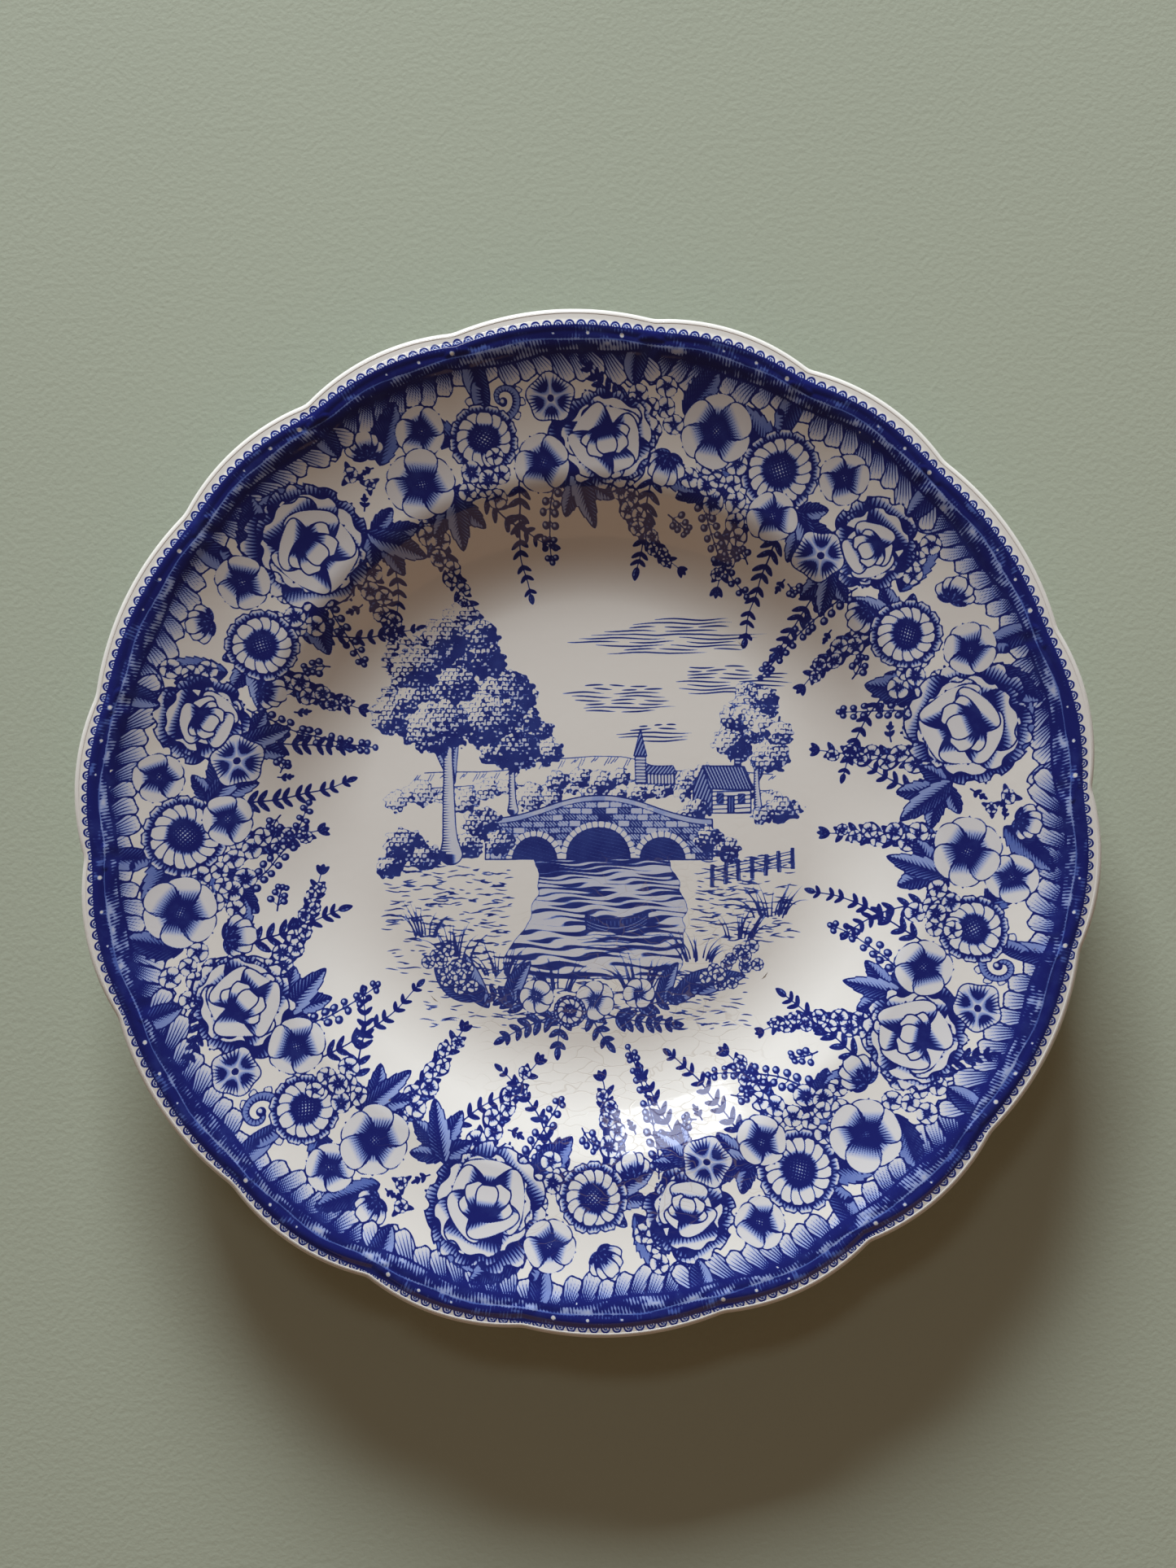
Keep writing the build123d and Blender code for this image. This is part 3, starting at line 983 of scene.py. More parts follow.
def water(sheet, x, y, half_width, depth):
    """A river that widens as it nears: level ripples, thin where slow noise is high.

    The banks stand off the middle by half the width, less towards the back, and wander by noise.
    A ripple is a cosine of the distance down, which a sine across sways.
    """

    def painter(u, v):
        """The river's field, tint and ripples."""
        bank = half_width * (0.72 + 0.28 * np.clip(-v / depth, 0, 1))
        bank = bank + 2.5 * (smooth_noise(v + 9.0, v + 40 + np.sign(u) * 9, 4.0, 3) - 0.5)
        field = np.maximum(np.abs(u + 3.0 * np.sin(v * 0.13)) - bank, np.maximum(v, -depth - v))
        ripple = np.cos((v + 0.35 * np.sin(u * 0.42 + v)) * 2 * math.pi / (1.05 + 0.02 * np.abs(v)))
        calm = smooth_noise(u * 0.22 + 80, v + 80, 1.6, 6) + 0.25 * np.clip(-v / depth, 0, 1)
        return field, 0.16 - 0.1 * np.clip(-v / depth, 0, 1), 0.5 + 0.42 * ripple - 1.3 * (calm - 0.5)

    sheet.shape(x, y, 0.0, max(half_width + 4, depth + 2), painter, 0.18)


# The bridge's stones: height of a course, length of a stone, and how far every other course is set along
COURSE = 1.75
STONE = 3.3
STAGGER = 1.55
ARCH_RING = 1.9
PARAPET = 1.7
ARCHES = ((-17.5, 6.0), (0.0, 8.6), (17.5, 6.0))


def bridge(sheet, x, y, half, height):
    """A stone bridge: a humped wall of coursed stone with round arches cut through it.

    The top is a squared cosine. The joints lie where the place along and up, taken by the size
    of a stone, leaves no rest, with every other course set half a stone along.
    """

    def crown(u):
        """Height of the wall's top."""
        return height * (0.62 + 0.38 * np.cos(np.clip(u / half, -1, 1) * math.pi * 0.5) ** 2)

    def back(u, v):
        """The dark seen through the arches."""
        opening = np.full(np.broadcast_shapes(u.shape, v.shape), 1e3)
        for centre, size in ARCHES:
            opening = np.minimum(opening, np.maximum(np.hypot(u - centre, v) - size, -v))
        return opening, 0.62, 0.5 + 0.42 * np.cos((u * 0.25 + v) * 2 * math.pi / 0.95) + 0.28

    def wall(u, v):
        """The stone face round the arches."""
        opening = np.full(np.broadcast_shapes(u.shape, v.shape), 1e3)
        spoke = np.zeros_like(opening)
        for centre, size in ARCHES:
            rho = np.hypot(u - centre, v)
            nearer = rho - size < opening
            spoke = np.where(nearer, np.arctan2(v, u - centre) * size / 1.5, spoke)
            opening = np.minimum(opening, rho - size)
        top = crown(u)
        field = np.maximum(np.maximum(np.abs(u) - half, v - top), np.maximum(-opening, -v))
        row = np.floor(v / COURSE)
        along = u + STAGGER * np.mod(row, 2)
        joint_x = np.abs(np.mod(along + 0.4 * np.sin(row * 5), STONE) - STONE / 2)
        joint_y = np.abs(np.mod(v, COURSE) - COURSE / 2)
        mortar = np.maximum(rule(COURSE / 2 - joint_y, 0.22), rule(STONE / 2 - joint_x, 0.22))
        stone = smooth_noise(np.floor(along / STONE) * 7.3 + 60, row * 5.1 + 60, 1.0, 8)
        hatch = 0.5 + 0.4 * np.cos((u + v) * 2 * math.pi / 0.9) + 0.9 * (stone - 0.72)
        voussoir = np.abs(np.mod(spoke, 1.0) - 0.5) * 1.5
        arch_ring = np.maximum(rule(opening - ARCH_RING, 0.26), rule(0.75 - voussoir, 0.2))
        line = np.where(opening < ARCH_RING, arch_ring, np.maximum(mortar, hatch))
        below = top - v
        line = np.where(below < PARAPET, rule(below - 1.5, 0.28), line)
        wash = np.where(opening < ARCH_RING, 0.06, 0.12 + 0.28 * stone)
        return field, wash, line

    sheet.shape(x, y, 0.0, half + 2, back, 0.3)
    sheet.shape(x, y, 0.0, half + 2, wall, 0.34)


def cottage(sheet, x, y, width, height):
    """A cottage with a thatched roof seen from its corner, a chimney, a door and two windows."""
    w, h = width, height
    panel(sheet, x, y, x + w * 0.62, y + h * 0.52, 0.05, 1.2, 0.05, 0.2)
    back, middle = x - w * 0.3, x - w * 0.15
    gable = [(back, y + 0.4), (x, y), (x, y + h * 0.52), (middle, y + h * 0.92), (back, y + h * 0.5)]
    area(sheet, gable, 0.35, 0.9, 1.2, 0.5)
    panel(sheet, x + w * 0.36, y + h * 0.8, x + w * 0.46, y + h * 1.12, 0.25, 0.9, 0.0, 0.45)
    eaves, ridge = y + h * 0.47, y + h * 0.92
    thatch = [(x - w * 0.03, eaves), (x + w * 0.68, eaves), (x + w * 0.52, ridge), (middle, y + h * 0.94)]
    area(sheet, thatch, 0.3, 0.8, -1.15, 0.52)
    for left in (x + w * 0.08, x + w * 0.42):
        panel(sheet, left, y + h * 0.2, left + w * 0.1, y + h * 0.38, 0.7, 0.8, 0.8, 0.6, 0.24)
    panel(sheet, x + w * 0.25, y, x + w * 0.35, y + h * 0.33, 0.6, 0.7, 1.57, 0.55, 0.26)
    for k in range(3):
        points, _ = bow(x + w * 0.41 + k * 0.3, y + h * 1.15, 1.2, 5 + 1.5 * k, 0.9 - 0.8 * k, 10)
        sheet.stroke(points, 0.2 * np.sin(np.linspace(0.3, 3.0, 10)))


def church(sheet, x, y, size):
    """A distant church: nave, tower and spire."""
    s = size
    panel(sheet, x, y, x + s * 1.5, y + s * 0.55, 0.12, 0.9, 1.57, 0.35, 0.22)
    eaves, ridge = y + s * 0.55, y + s * 1.0
    roof = [(x - 0.1 * s, eaves), (x + s * 1.6, eaves), (x + s * 1.4, ridge), (x + 0.1 * s, ridge)]
    area(sheet, roof, 0.35, 0.8, 0.9, 0.5, 0.22)
    panel(sheet, x - s * 0.55, y, x, y + s * 1.5, 0.15, 0.9, 0.0, 0.3, 0.22)
    spire = [(x - s * 0.62, y + s * 1.5), (x + 0.06 * s, y + s * 1.5), (x - s * 0.28, y + s * 2.9)]
    area(sheet, spire, 0.4, 0.8, 1.2, 0.5, 0.22)


def fence(sheet, start, end, posts=7, height=5.0):
    """Posts joined by two rails, between two points of the ground."""
    start, end = np.array(start, float), np.array(end, float)
    for level in (0.45, 0.8):
        rail = [start + (0, height * level), end + (0, height * level * 0.9)]
        sheet.scratch(rail, 0.95)
        for edge in (-0.35, 0.35):
            sheet.stroke(np.array(rail) + (0, edge), 0.24)
    for k in range(posts):
        p = start + (end - start) * k / (posts - 1)
        tall = height * (1 - 0.1 * k / posts)
        lean = 0.25 * math.sin(k * 2.1)
        post = [p + (-0.45, 0), p + (0.45, 0), p + (0.4 + lean, tall), p + (-0.4 + lean, tall)]
        area(sheet, post, 0.2, 0.7, 1.57, 0.4, 0.24)


def boat(sheet, x, y, length):
    """A moored rowing boat with its oars shipped: its top bends as a square, its keel as a half ellipse."""

    def hull(u, v):
        """The boat's planked side."""
        t = np.clip(u / length, -0.5, 0.5)
        top = 0.16 * length * (2 * t) ** 2
        keel = -0.13 * length * np.sqrt(np.clip(1 - (1.9 * t) ** 2, 0, 1))
        field = np.maximum(v - top, np.maximum(keel - v, np.abs(u) - length / 2))
        return field, 0.4, 0.5 + 0.42 * np.cos((v - top) * 2 * math.pi / 0.85) + 0.12

    def inside(u, v):
        """What is seen over the boat's side."""
        t = np.clip(u / length, -0.5, 0.5)
        top = 0.16 * length * (2 * t) ** 2
        rim = 0.055 * length * np.sqrt(np.clip(1 - (2 * t) ** 2, 0, 1))
        field = np.maximum(np.abs(v - top) - rim, np.abs(u) - length * 0.49)
        return field, 0.7, 0.5 + 0.4 * np.cos(u * 2 * math.pi / 1.1) + 0.2

    sheet.shape(x, y, 0.08, length * 0.7, hull, 0.32)
    sheet.shape(x, y, 0.08, length * 0.7, inside, 0.3)
    sheet.stroke([(x - length * 0.25, y + 0.6), (x + length * 0.62, y + 3.4)], 0.34)


def hills(sheet):
    """Two lines of hills: slow noise times a cosine of the place across, with short slanting strokes."""
    for base, seed, tall in ((13.0, 3, 7.0), (9.0, 5, 4.5)):
        xs = np.linspace(-50, 56, 60)
        rise = tall * smooth_noise(xs + 60, xs * 0 + 60.0, 17.0, seed)
        ys = base + rise * np.cos(xs / 62 * math.pi / 2)
        sheet.stroke(np.stack([xs, ys], 1)[3:-3], 0.24)
        for k in range(2, 57):
            if (k * 7 + seed) % 5 < 3:
                down = 1.2 + 2.0 * ((k * 37) % 10) / 10
                sheet.stroke([(xs[k], ys[k] - 0.5), (xs[k] - 1.2, ys[k] - down)], 0.22)
                sheet.stroke([(xs[k] + 0.8, ys[k] - 0.4), (xs[k] - 0.2, ys[k] - down * 0.8)], 0.2)


def vignette(sheet):
    """A river landscape in the well: hills, church, bridge, trees, a cottage and a flowery bank."""
    cloud(sheet, 22, 56, 46, 10, 1)
    cloud(sheet, 37, 43, 34, 8, 2)
    cloud(sheet, -46, 47, 22, 8, 3)
    cloud(sheet, 8, 38, 30, 8, 4)
    cloud(sheet, 20, 27, 22, 5, 6)
    hills(sheet)
    for k in range(19):
        level = 9.5 + 1.8 * math.sin(k * 1.7) - 0.0012 * (6 * k - 52) ** 2
        clump(sheet, -52 + 6 * k, level, 3.6 + 1.1 * math.sin(k * 2.3), 80 + k, 0.38)
    church(sheet, 16, 11, 5.2)
    far = ((-2, 13, 3.2), (4, 12, 3.6), (9, 13, 3.0), (28, 12, 3.6), (33, 13, 4.2), (-8, 12, 3.6))
    for k, (x, y, s) in enumerate(far):
        clump(sheet, x, y, s, 20 + k, 0.45)
    tree(sheet, 47, 3, 34, 17, 21, 0.42, 1.6)
    cottage(sheet, 34, 3, 17, 14)
    for k, (x, y, s) in enumerate(((30, 4, 3.4), (53, 4, 4.4), (27, 2, 2.8), (48, 2.5, 3.2))):
        clump(sheet, x, y, s, 30 + k, 0.55)
    tree(sheet, -20, 4, 36, 15, 8, 0.42, 1.7)
    water(sheet, 3, -9, 25, 33)
    bridge(sheet, 3, -9.5, 31, 17.5)
    beside = ((-29, 0, 5.6), (-24, -5, 4.2), (33, -4, 4.6), (38, -7, 3.8), (-33, -6, 4.4))
    for k, (x, y, s) in enumerate(beside):
        clump(sheet, x, y, s, 40 + k, 0.55)
    tree(sheet, -37, -8, 66, 31, 5, 0.5, 3.6)
    for k, (x, y, s) in enumerate(((-50, -6, 6.0), (-44, -9, 4.6), (-54, -12, 4.0))):
        clump(sheet, x, y, s, 60 + k, 0.6)
    ground(sheet, 43, -8, 26, 24, 170, 7)
    ground(sheet, -38, -11, 34, 30, 260, 8)
    fence(sheet, (34, -17), (56, -12), 7, 6.0)
    boat(sheet, 8, -27, 17)
    for k in range(7):
        xs = np.linspace(-6 + k, 24 - 2 * k, 9)
        mirrored = np.stack([xs, -30.2 - k * 0.95 + 0.15 * np.sin(xs)], 1)
        sheet.stroke(mirrored, 0.26 * np.sin(np.linspace(0.2, 3.0, 9)))
    flowery_bank(sheet)


# Tufts, broad leaves and twigs of the near bank: place, then direction and length
TUFTS = ((-44, -30), (-36, -36), (-24, -41), (30, -37), (41, -31), (50, -25), (14, -44), (-8, -45))
BROAD_LEAVES = (
    (-30, -48, 2.5, 15), (-27, -50, 2.0, 16), (-22, -50, 1.1, 14),
    (24, -49, 0.7, 15), (20, -50, 1.2, 13), (30, -46, 0.35, 14),
)
TWIGS = (
    (-16, -50, 2.7, 14), (-8, -52, 3.4, 16), (6, -52, -0.3, 17),
    (0, -50, -1.2, 11), (-6, -50, -1.9, 11), (12, -50, 0.15, 17),
)


def flowery_bank(sheet):
    """The near bank: strokes of ground, grass, leaves and twigs, with open flowers over them."""
    ground(sheet, 0, -40, 88, 16, 240, 9)
    for k, (x, y) in enumerate(TUFTS):
        grass(sheet, x, y, 9, 9, 16, 70 + k)
    for x, y, turn, length in BROAD_LEAVES:
        leaf(sheet, x, y, turn, length, length * 0.34, 0, 0.6, 0.15)
    for x, y, turn, length in TWIGS:
        twig(sheet, x, y, turn, length, 0.3, 4.6, 2.8)
    for x, y, size in ((-14, -47, 4.6), (2, -48, 5.4), (14, -46, 4.2)):
        blossom(sheet, x, y, 0.3 * x, size, 6)
    aster(sheet, -5, -51, 0, 4.4, 11)
    for x, y in ((-35, -42), (36, -41), (-40, -37), (43, -36)):
        florets(sheet, x, y, 0.0, 1.7, 6, int(x) % 9 + 3)


# ---------------------------------------------------------------- meshes


def new_mesh(name, points, normals, face_groups, uv=None, attributes=()):
    """A mesh object from points in millimetres and arrays of faces, each array of one face size."""
    mesh = bpy.data.meshes.new(name)
    points = np.asarray(points, np.float32).reshape(-1, 3) * MM
    corners = np.concatenate([faces.ravel() for faces in face_groups]).astype(np.int32)
    sizes = np.concatenate([np.full(len(faces), faces.shape[1], np.int32) for faces in face_groups])
    mesh.vertices.add(len(points))
    mesh.vertices.foreach_set("co", points.ravel())
    mesh.loops.add(len(corners))
    mesh.loops.foreach_set("vertex_index", corners)
    mesh.polygons.add(len(sizes))
    mesh.polygons.foreach_set("loop_start", np.concatenate([[0], np.cumsum(sizes)[:-1]]).astype(np.int32))
    mesh.polygons.foreach_set("use_smooth", np.ones(len(sizes), bool))
    for key, values in attributes:
        layer = mesh.attributes.new(key, "FLOAT", "POINT")
        layer.data.foreach_set("value", np.asarray(values, np.float32).ravel())
    if uv is not None:
        layer = mesh.uv_layers.new(name="OFBake")
        layer.data.foreach_set("uv", np.asarray(uv, np.float32).reshape(-1, 2)[corners].ravel())
    mesh.update()
    mesh.validate()
    mesh.normals_split_custom_set_from_vertices(np.asarray(normals, np.float32).reshape(-1, 3))
    obj = bpy.data.objects.new(name, mesh)
    bpy.context.scene.collection.objects.link(obj)
    return obj


def grid_faces(rows, columns, start=0, closed=False):
    """Quads of a grid of rows by columns vertices, which may close on itself across its columns."""
    last = columns if closed else columns - 1
    i, j = np.meshgrid(np.arange(rows - 1), np.arange(last), indexing="ij")
    k = (j + 1) % columns
    quads = np.stack([i * columns + j, (i + 1) * columns + j, (i + 1) * columns + k, i * columns + k], -1)
    return quads.reshape(-1, 4) + start


def layer_faces(rows, columns, step):
    """Faces of a thin closed layer: a fine upper grid, a coarse lower one, and walls between them.

    The lower grid has every step-th vertex of the upper. A wall piece is one polygon: a run of
    the upper edge and the two lower vertices below its ends.
    """
    fine = np.arange(rows * columns).reshape(rows, columns)
    low_rows, low_columns = (rows - 1) // step + 1, (columns - 1) // step + 1
    low = rows * columns + np.arange(low_rows * low_columns).reshape(low_rows, low_columns)
    groups = [grid_faces(rows, columns), grid_faces(low_rows, low_columns, rows * columns)[:, ::-1]]
    edges = (
        (fine[0], low[0]), (fine[-1][::-1], low[-1][::-1]),
        (fine[::-1, 0], low[::-1, 0]), (fine[:, -1], low[:, -1]),
    )
    for upper, lower in edges:
        runs = np.arange(0, len(upper) - 1, step)[:, None] + np.arange(step + 1)
        groups.append(np.concatenate([lower[1:, None], lower[:-1, None], upper[runs]], 1))
    return groups


def both_grids(upper, lower=None):
    """Values of a printed layer's upper grid, then of its lower one, which has some of the same."""
    lower = upper[::LAYER_STEP, ::LAYER_STEP] if lower is None else lower
    return np.concatenate([grid.reshape(-1, grid.shape[-1]) for grid in (upper, lower)])


def printed_layer(name, points, uv, attributes):
    """A thin closed layer whose upper face is a grid of points with a spare border for its normals.

    Its lower face is every step-th point of the upper, moved by the layer's depth against the normal.
    """
    normals = grid_normals(points)
    upper = points[1:-1, 1:-1]
    lower = (upper - normals * (PRINT_DEPTH - PRINT_CLEAR))[::LAYER_STEP, ::LAYER_STEP]
    under = -normals[::LAYER_STEP, ::LAYER_STEP]
    values = [(key, both_grids(v[..., None])) for key, v in attributes(upper)]
    faces = layer_faces(*upper.shape[:2], LAYER_STEP)
    points, normals = both_grids(upper, lower), both_grids(normals, under)
    return new_mesh(name, points, normals, faces, both_grids(uv), values)


def steps_over(length, shape):
    """How many grid steps span a length: the nearest count that the layers' own step divides."""
    fine = shape.print_spacing * 1.0
    return max(int(round(length / fine / LAYER_STEP)), 2) * LAYER_STEP


def inset_uv(grid):
    """A UV map from 0 to 1, drawn in by the margin on every side."""
    return grid * (1 - 2 * UV_MARGIN) + UV_MARGIN


def border_sector(index, total, shape, attributes):
    """One sector of the printed border: rings from the centre print to the bare edge, by angles."""
    span = 2 * math.pi / total
    rows = steps_over(RIM - PRINT_EDGE - CENTRE_RADIUS, shape)
    columns = steps_over(span * FOLLOW_FROM, shape)
    v = np.arange(-1, rows + 2) / rows
    u = np.arange(-1, columns + 2) / columns
    rho = CENTRE_RADIUS + (RIM - PRINT_EDGE - CENTRE_RADIUS) * v
    theta = span * (index + u)
    points = face_points(rho[:, None], theta[None, :], shape)
    uv = inset_uv(np.stack(np.meshgrid(u[1:-1], v[1:-1]), -1))
    return printed_layer(f"border_print_{index + 1}", points, uv, attributes)


def centre_quarter(index, shape, attributes):
    """One quarter of the printed floor, a square drawn out to a quarter round.

    Each coordinate is multiplied by the root of one less half the other one squared.
    """
    count = steps_over(CENTRE_RADIUS / CENTRE_FINER, shape)
    a = np.arange(-1, count + 2) / count
    p, q = np.meshgrid(a, a, indexing="ij")
    x, y = p * np.sqrt(1 - q * q / 2) * CENTRE_RADIUS, q * np.sqrt(1 - p * p / 2) * CENTRE_RADIUS
    c, s = math.cos(index * math.pi / 2), math.sin(index * math.pi / 2)
    points = np.stack([x * c - y * s, x * s + y * c, turned_height(np.hypot(x, y))], -1)
    uv = inset_uv(np.stack([p, q], -1)[1:-1, 1:-1])
    return printed_layer(f"centre_print_{index + 1}", points, uv, attributes)


def arc(x, z, radius, start, end, count):
    """Points of an arc in the profile's plane, from one direction in degrees to another."""
    a = np.radians(np.linspace(start, end, count))
    return np.stack([x + radius * np.cos(a), z + radius * np.sin(a)], -1)


def body_profile(shape):
    """The body's section as rings of radius and height, from under the middle round the lip to the top.

    Under the middle it is level, with a faint dome. The foot ring is a tapered band with rounded
    edges. The back keeps an even distance below the face, then thins to the brim.
    """
    dome = BASE_HEIGHT + 0.25 * np.cos(np.linspace(0, math.pi / 2, 10))
    base = np.stack([np.linspace(0.0, 66.0, 10), dome], -1)
    inner = arc(FOOT_RADIUS - 4.3, BASE_HEIGHT - 1.3, 1.3, 90, 15, 6)
    foot_in = arc(FOOT_RADIUS - 0.75, 0.75, 0.75, 190, 270, 7)
    foot_out = arc(FOOT_RADIUS + 0.75, 0.75, 0.75, 270, 350, 7)
    r = np.concatenate([np.linspace(79.0, 95.0, 12), np.linspace(97.0, 124.0, 12)])
    face = turned_height(r)
    gap = 0.4
    slope = np.arctan((turned_height(r + gap) - turned_height(r - gap)) / (2 * gap))
    thick = WALL_THICK + (BRIM_THICK - WALL_THICK) * ease((r - 95.0) / 32.0)
    back = np.stack([r + np.sin(slope) * thick, face - np.cos(slope) * thick], -1)
    brim = STATION_HEIGHT[-1] - BRIM_THICK
    back = back[back[:, 0] < 124.0]
    out = arc(FOOT_RADIUS + 4.4, back[0, 1] - 1.5, 1.5, 165, 90, 6)
    r = np.array([126.0, 128.0, 130.0, 131.6])
    turn = np.stack([r, brim - (1 - ease((r - 124.0) / 5.0)) * 0.7], -1)
    lip_low = arc(RIM - LIP, brim + LIP, LIP, -85, 0, 9)
    top = STATION_HEIGHT[-1] - shape.margin_fall
    lip_high = arc(RIM - LIP, top - LIP, LIP, 0, 84, 9)
    return base, inner, foot_in, foot_out, out, back, turn, lip_low, lip_high


def body_mesh(shape):
    """The body as its section carried round the axis; near the lip the rings follow the scallops."""
    rho, z = np.concatenate(body_profile(shape)).T
    edge = RIM - PRINT_EDGE
    recess = np.concatenate([[edge], np.linspace(edge, 60.0, 26), np.linspace(52.0, 0.0, 6)])
    columns = BODY_COLUMNS
    theta = np.arange(columns) * 2 * math.pi / columns
    outer = place(rho[1:, None], theta[None, :])
    shell = np.stack(np.broadcast_arrays(outer * np.cos(theta), outer * np.sin(theta), z[1:, None]), -1)
    face = face_points(recess[:-1, None], theta[None, :], shape)
    face[1:, :, 2] -= PRINT_DEPTH
    rings = np.concatenate([shell, face])
    wrapped = np.concatenate([rings[:, -1:], rings, rings[:, :1]], 1)
    wrapped = np.concatenate([wrapped[:1] * [0.0, 0.0, 1.0], wrapped, wrapped[-1:] * [0.0, 0.0, 1.0]])
    normals = -grid_normals(wrapped)
    poles = np.array([[0.0, 0.0, z[0]], [0.0, 0.0, FLOOR_HEIGHT - PRINT_DEPTH]])
    points = np.concatenate([rings.reshape(-1, 3), poles])
    normals = np.concatenate([normals.reshape(-1, 3), [[0, 0, -1.0], [0, 0, 1.0]]])
    rows, first = len(rings), np.arange(columns)
    second = (first + 1) % columns
    bottom = np.stack([np.full(columns, rows * columns), second, first], -1)
    last = (rows - 1) * columns
    top = np.stack([np.full(columns, rows * columns + 1), last + first, last + second], -1)
    walls = grid_faces(rows, columns, closed=True)[:, ::-1]
    return new_mesh("plate_body", points, normals, [walls, bottom, top])


# ---------------------------------------------------------------- materials


def add(tree, kind, values=(), **settings):
    """Add a node with its settings, and set or link its inputs by name or number."""
    made = tree.nodes.new(kind)
    for key, value in settings.items():
        setattr(made, key, value)
    for key, value in dict(values).items():
        if isinstance(value, bpy.types.NodeSocket):
            tree.links.new(value, made.inputs[key])
        else:
            made.inputs[key].default_value = value
    return made


def sums(tree, operation, *terms):
    """A Math node of the given operation."""
    return add(tree, "ShaderNodeMath", enumerate(terms), operation=operation).outputs[0]


def less(tree, value):
    """One less a value."""
    return sums(tree, "SUBTRACT", 1.0, value)


def vectors(tree, operation, output, *terms):
    """An output of a Vector Math node of the given operation."""
    return add(tree, "ShaderNodeVectorMath", enumerate(terms), operation=operation).outputs[output]


def opaque(colour, share=1.0):
    """A colour setting times a share, with full alpha."""
    return (*(share * c for c in colour), 1.0)


def relief_normal(tree, height, distance, strength=1.0):
    """The normal of a Bump node over a height."""
    values = {"Height": height, "Distance": distance, "Strength": strength}
    return add(tree, "ShaderNodeBump", values).outputs["Normal"]


def band(tree, value, low, high):
    """Ease a value from 0 to 1 between two levels."""
    levels = {"Value": value, "From Min": low, "From Max": high}
    return add(tree, "ShaderNodeMapRange", levels, interpolation_type="SMOOTHSTEP").outputs[0]


def noise(tree, place, per_metre, detail=2.0, rough=0.5):
    """Even noise at a scale counted per metre of the object."""
    values = {"Vector": place, "Scale": per_metre, "Detail": detail, "Roughness": rough}
    return add(tree, "ShaderNodeTexNoise", values).outputs["Fac"]


def group_of(name, inputs, outputs):
    """An empty shader node group with named sockets, its group input and its group output."""
    group = bpy.data.node_groups.new(name, "ShaderNodeTree")
    for key, kind, value in inputs:
        group.interface.new_socket(key, in_out="INPUT", socket_type=kind).default_value = value
    for key, kind in outputs:
        group.interface.new_socket(key, in_out="OUTPUT", socket_type=kind)
    return group, group.nodes.new("NodeGroupInput"), group.nodes.new("NodeGroupOutput")


def mix_colour(tree, factor, a, b):
    """Mix two colours."""
    made = tree.nodes.new("ShaderNodeMix")
    made.data_type = "RGBA"
    ends = [socket for socket in made.inputs if socket.type == "RGBA"]
    for socket, value in ((made.inputs[0], factor), (ends[0], a), (ends[1], b)):
        if isinstance(value, bpy.types.NodeSocket):
            tree.links.new(value, socket)
        else:
            socket.default_value = value
    return next(socket for socket in made.outputs if socket.type == "RGBA")


def ink_group():
    """Cobalt ink: turns the flat tint and the engraved lines into a density and a colour.

    Lines are where the line value passes one half. The ink is thinner in patches and at its edges.
    """
    number, colour = "NodeSocketFloat", "NodeSocketColor"
    white = (1.0, 1.0, 1.0, 1.0)
    tree, given, out = group_of(
        "cobalt_ink",
        [("Tint", number, 0.0), ("Line", number, 0.0), ("Strength", number, 1.0),
         ("Patchiness", number, 0.1), ("Ground", colour, white), ("Pale", colour, white),
         ("Middle", colour, white), ("Deep", colour, white)],
        [("Color", colour), ("Density", number)])
    place = add(tree, "ShaderNodeTexCoord").outputs["Object"]
    grain = sums(tree, "MULTIPLY_ADD", noise(tree, place, 2600.0), 0.10, -0.05)
    mask = band(tree, sums(tree, "ADD", given.outputs["Line"], grain), 0.34, 0.57)
    solid = sums(tree, "MULTIPLY_ADD", given.outputs["Tint"], less(tree, mask), mask)
    uneven = sums(tree, "SUBTRACT", noise(tree, place, 170.0, 4.0, 0.6), 0.5)
    patches = sums(tree, "MULTIPLY_ADD", uneven, given.outputs["Patchiness"], 1.0)
    density = sums(tree, "MULTIPLY", sums(tree, "MULTIPLY", solid, given.outputs["Strength"]), patches)
    ramp = given.outputs["Ground"]
    for low, high, key in ((0.0, 0.3, "Pale"), (0.3, 0.64, "Middle"), (0.64, 1.0, "Deep")):
        levels = {"Value": density, "From Min": low, "From Max": high}
        step = add(tree, "ShaderNodeMapRange", levels).outputs[0]
        ramp = mix_colour(tree, step, ramp, given.outputs[key])
    tree.links.new(ramp, out.inputs["Color"])
    tree.links.new(density, out.inputs["Density"])
    return tree


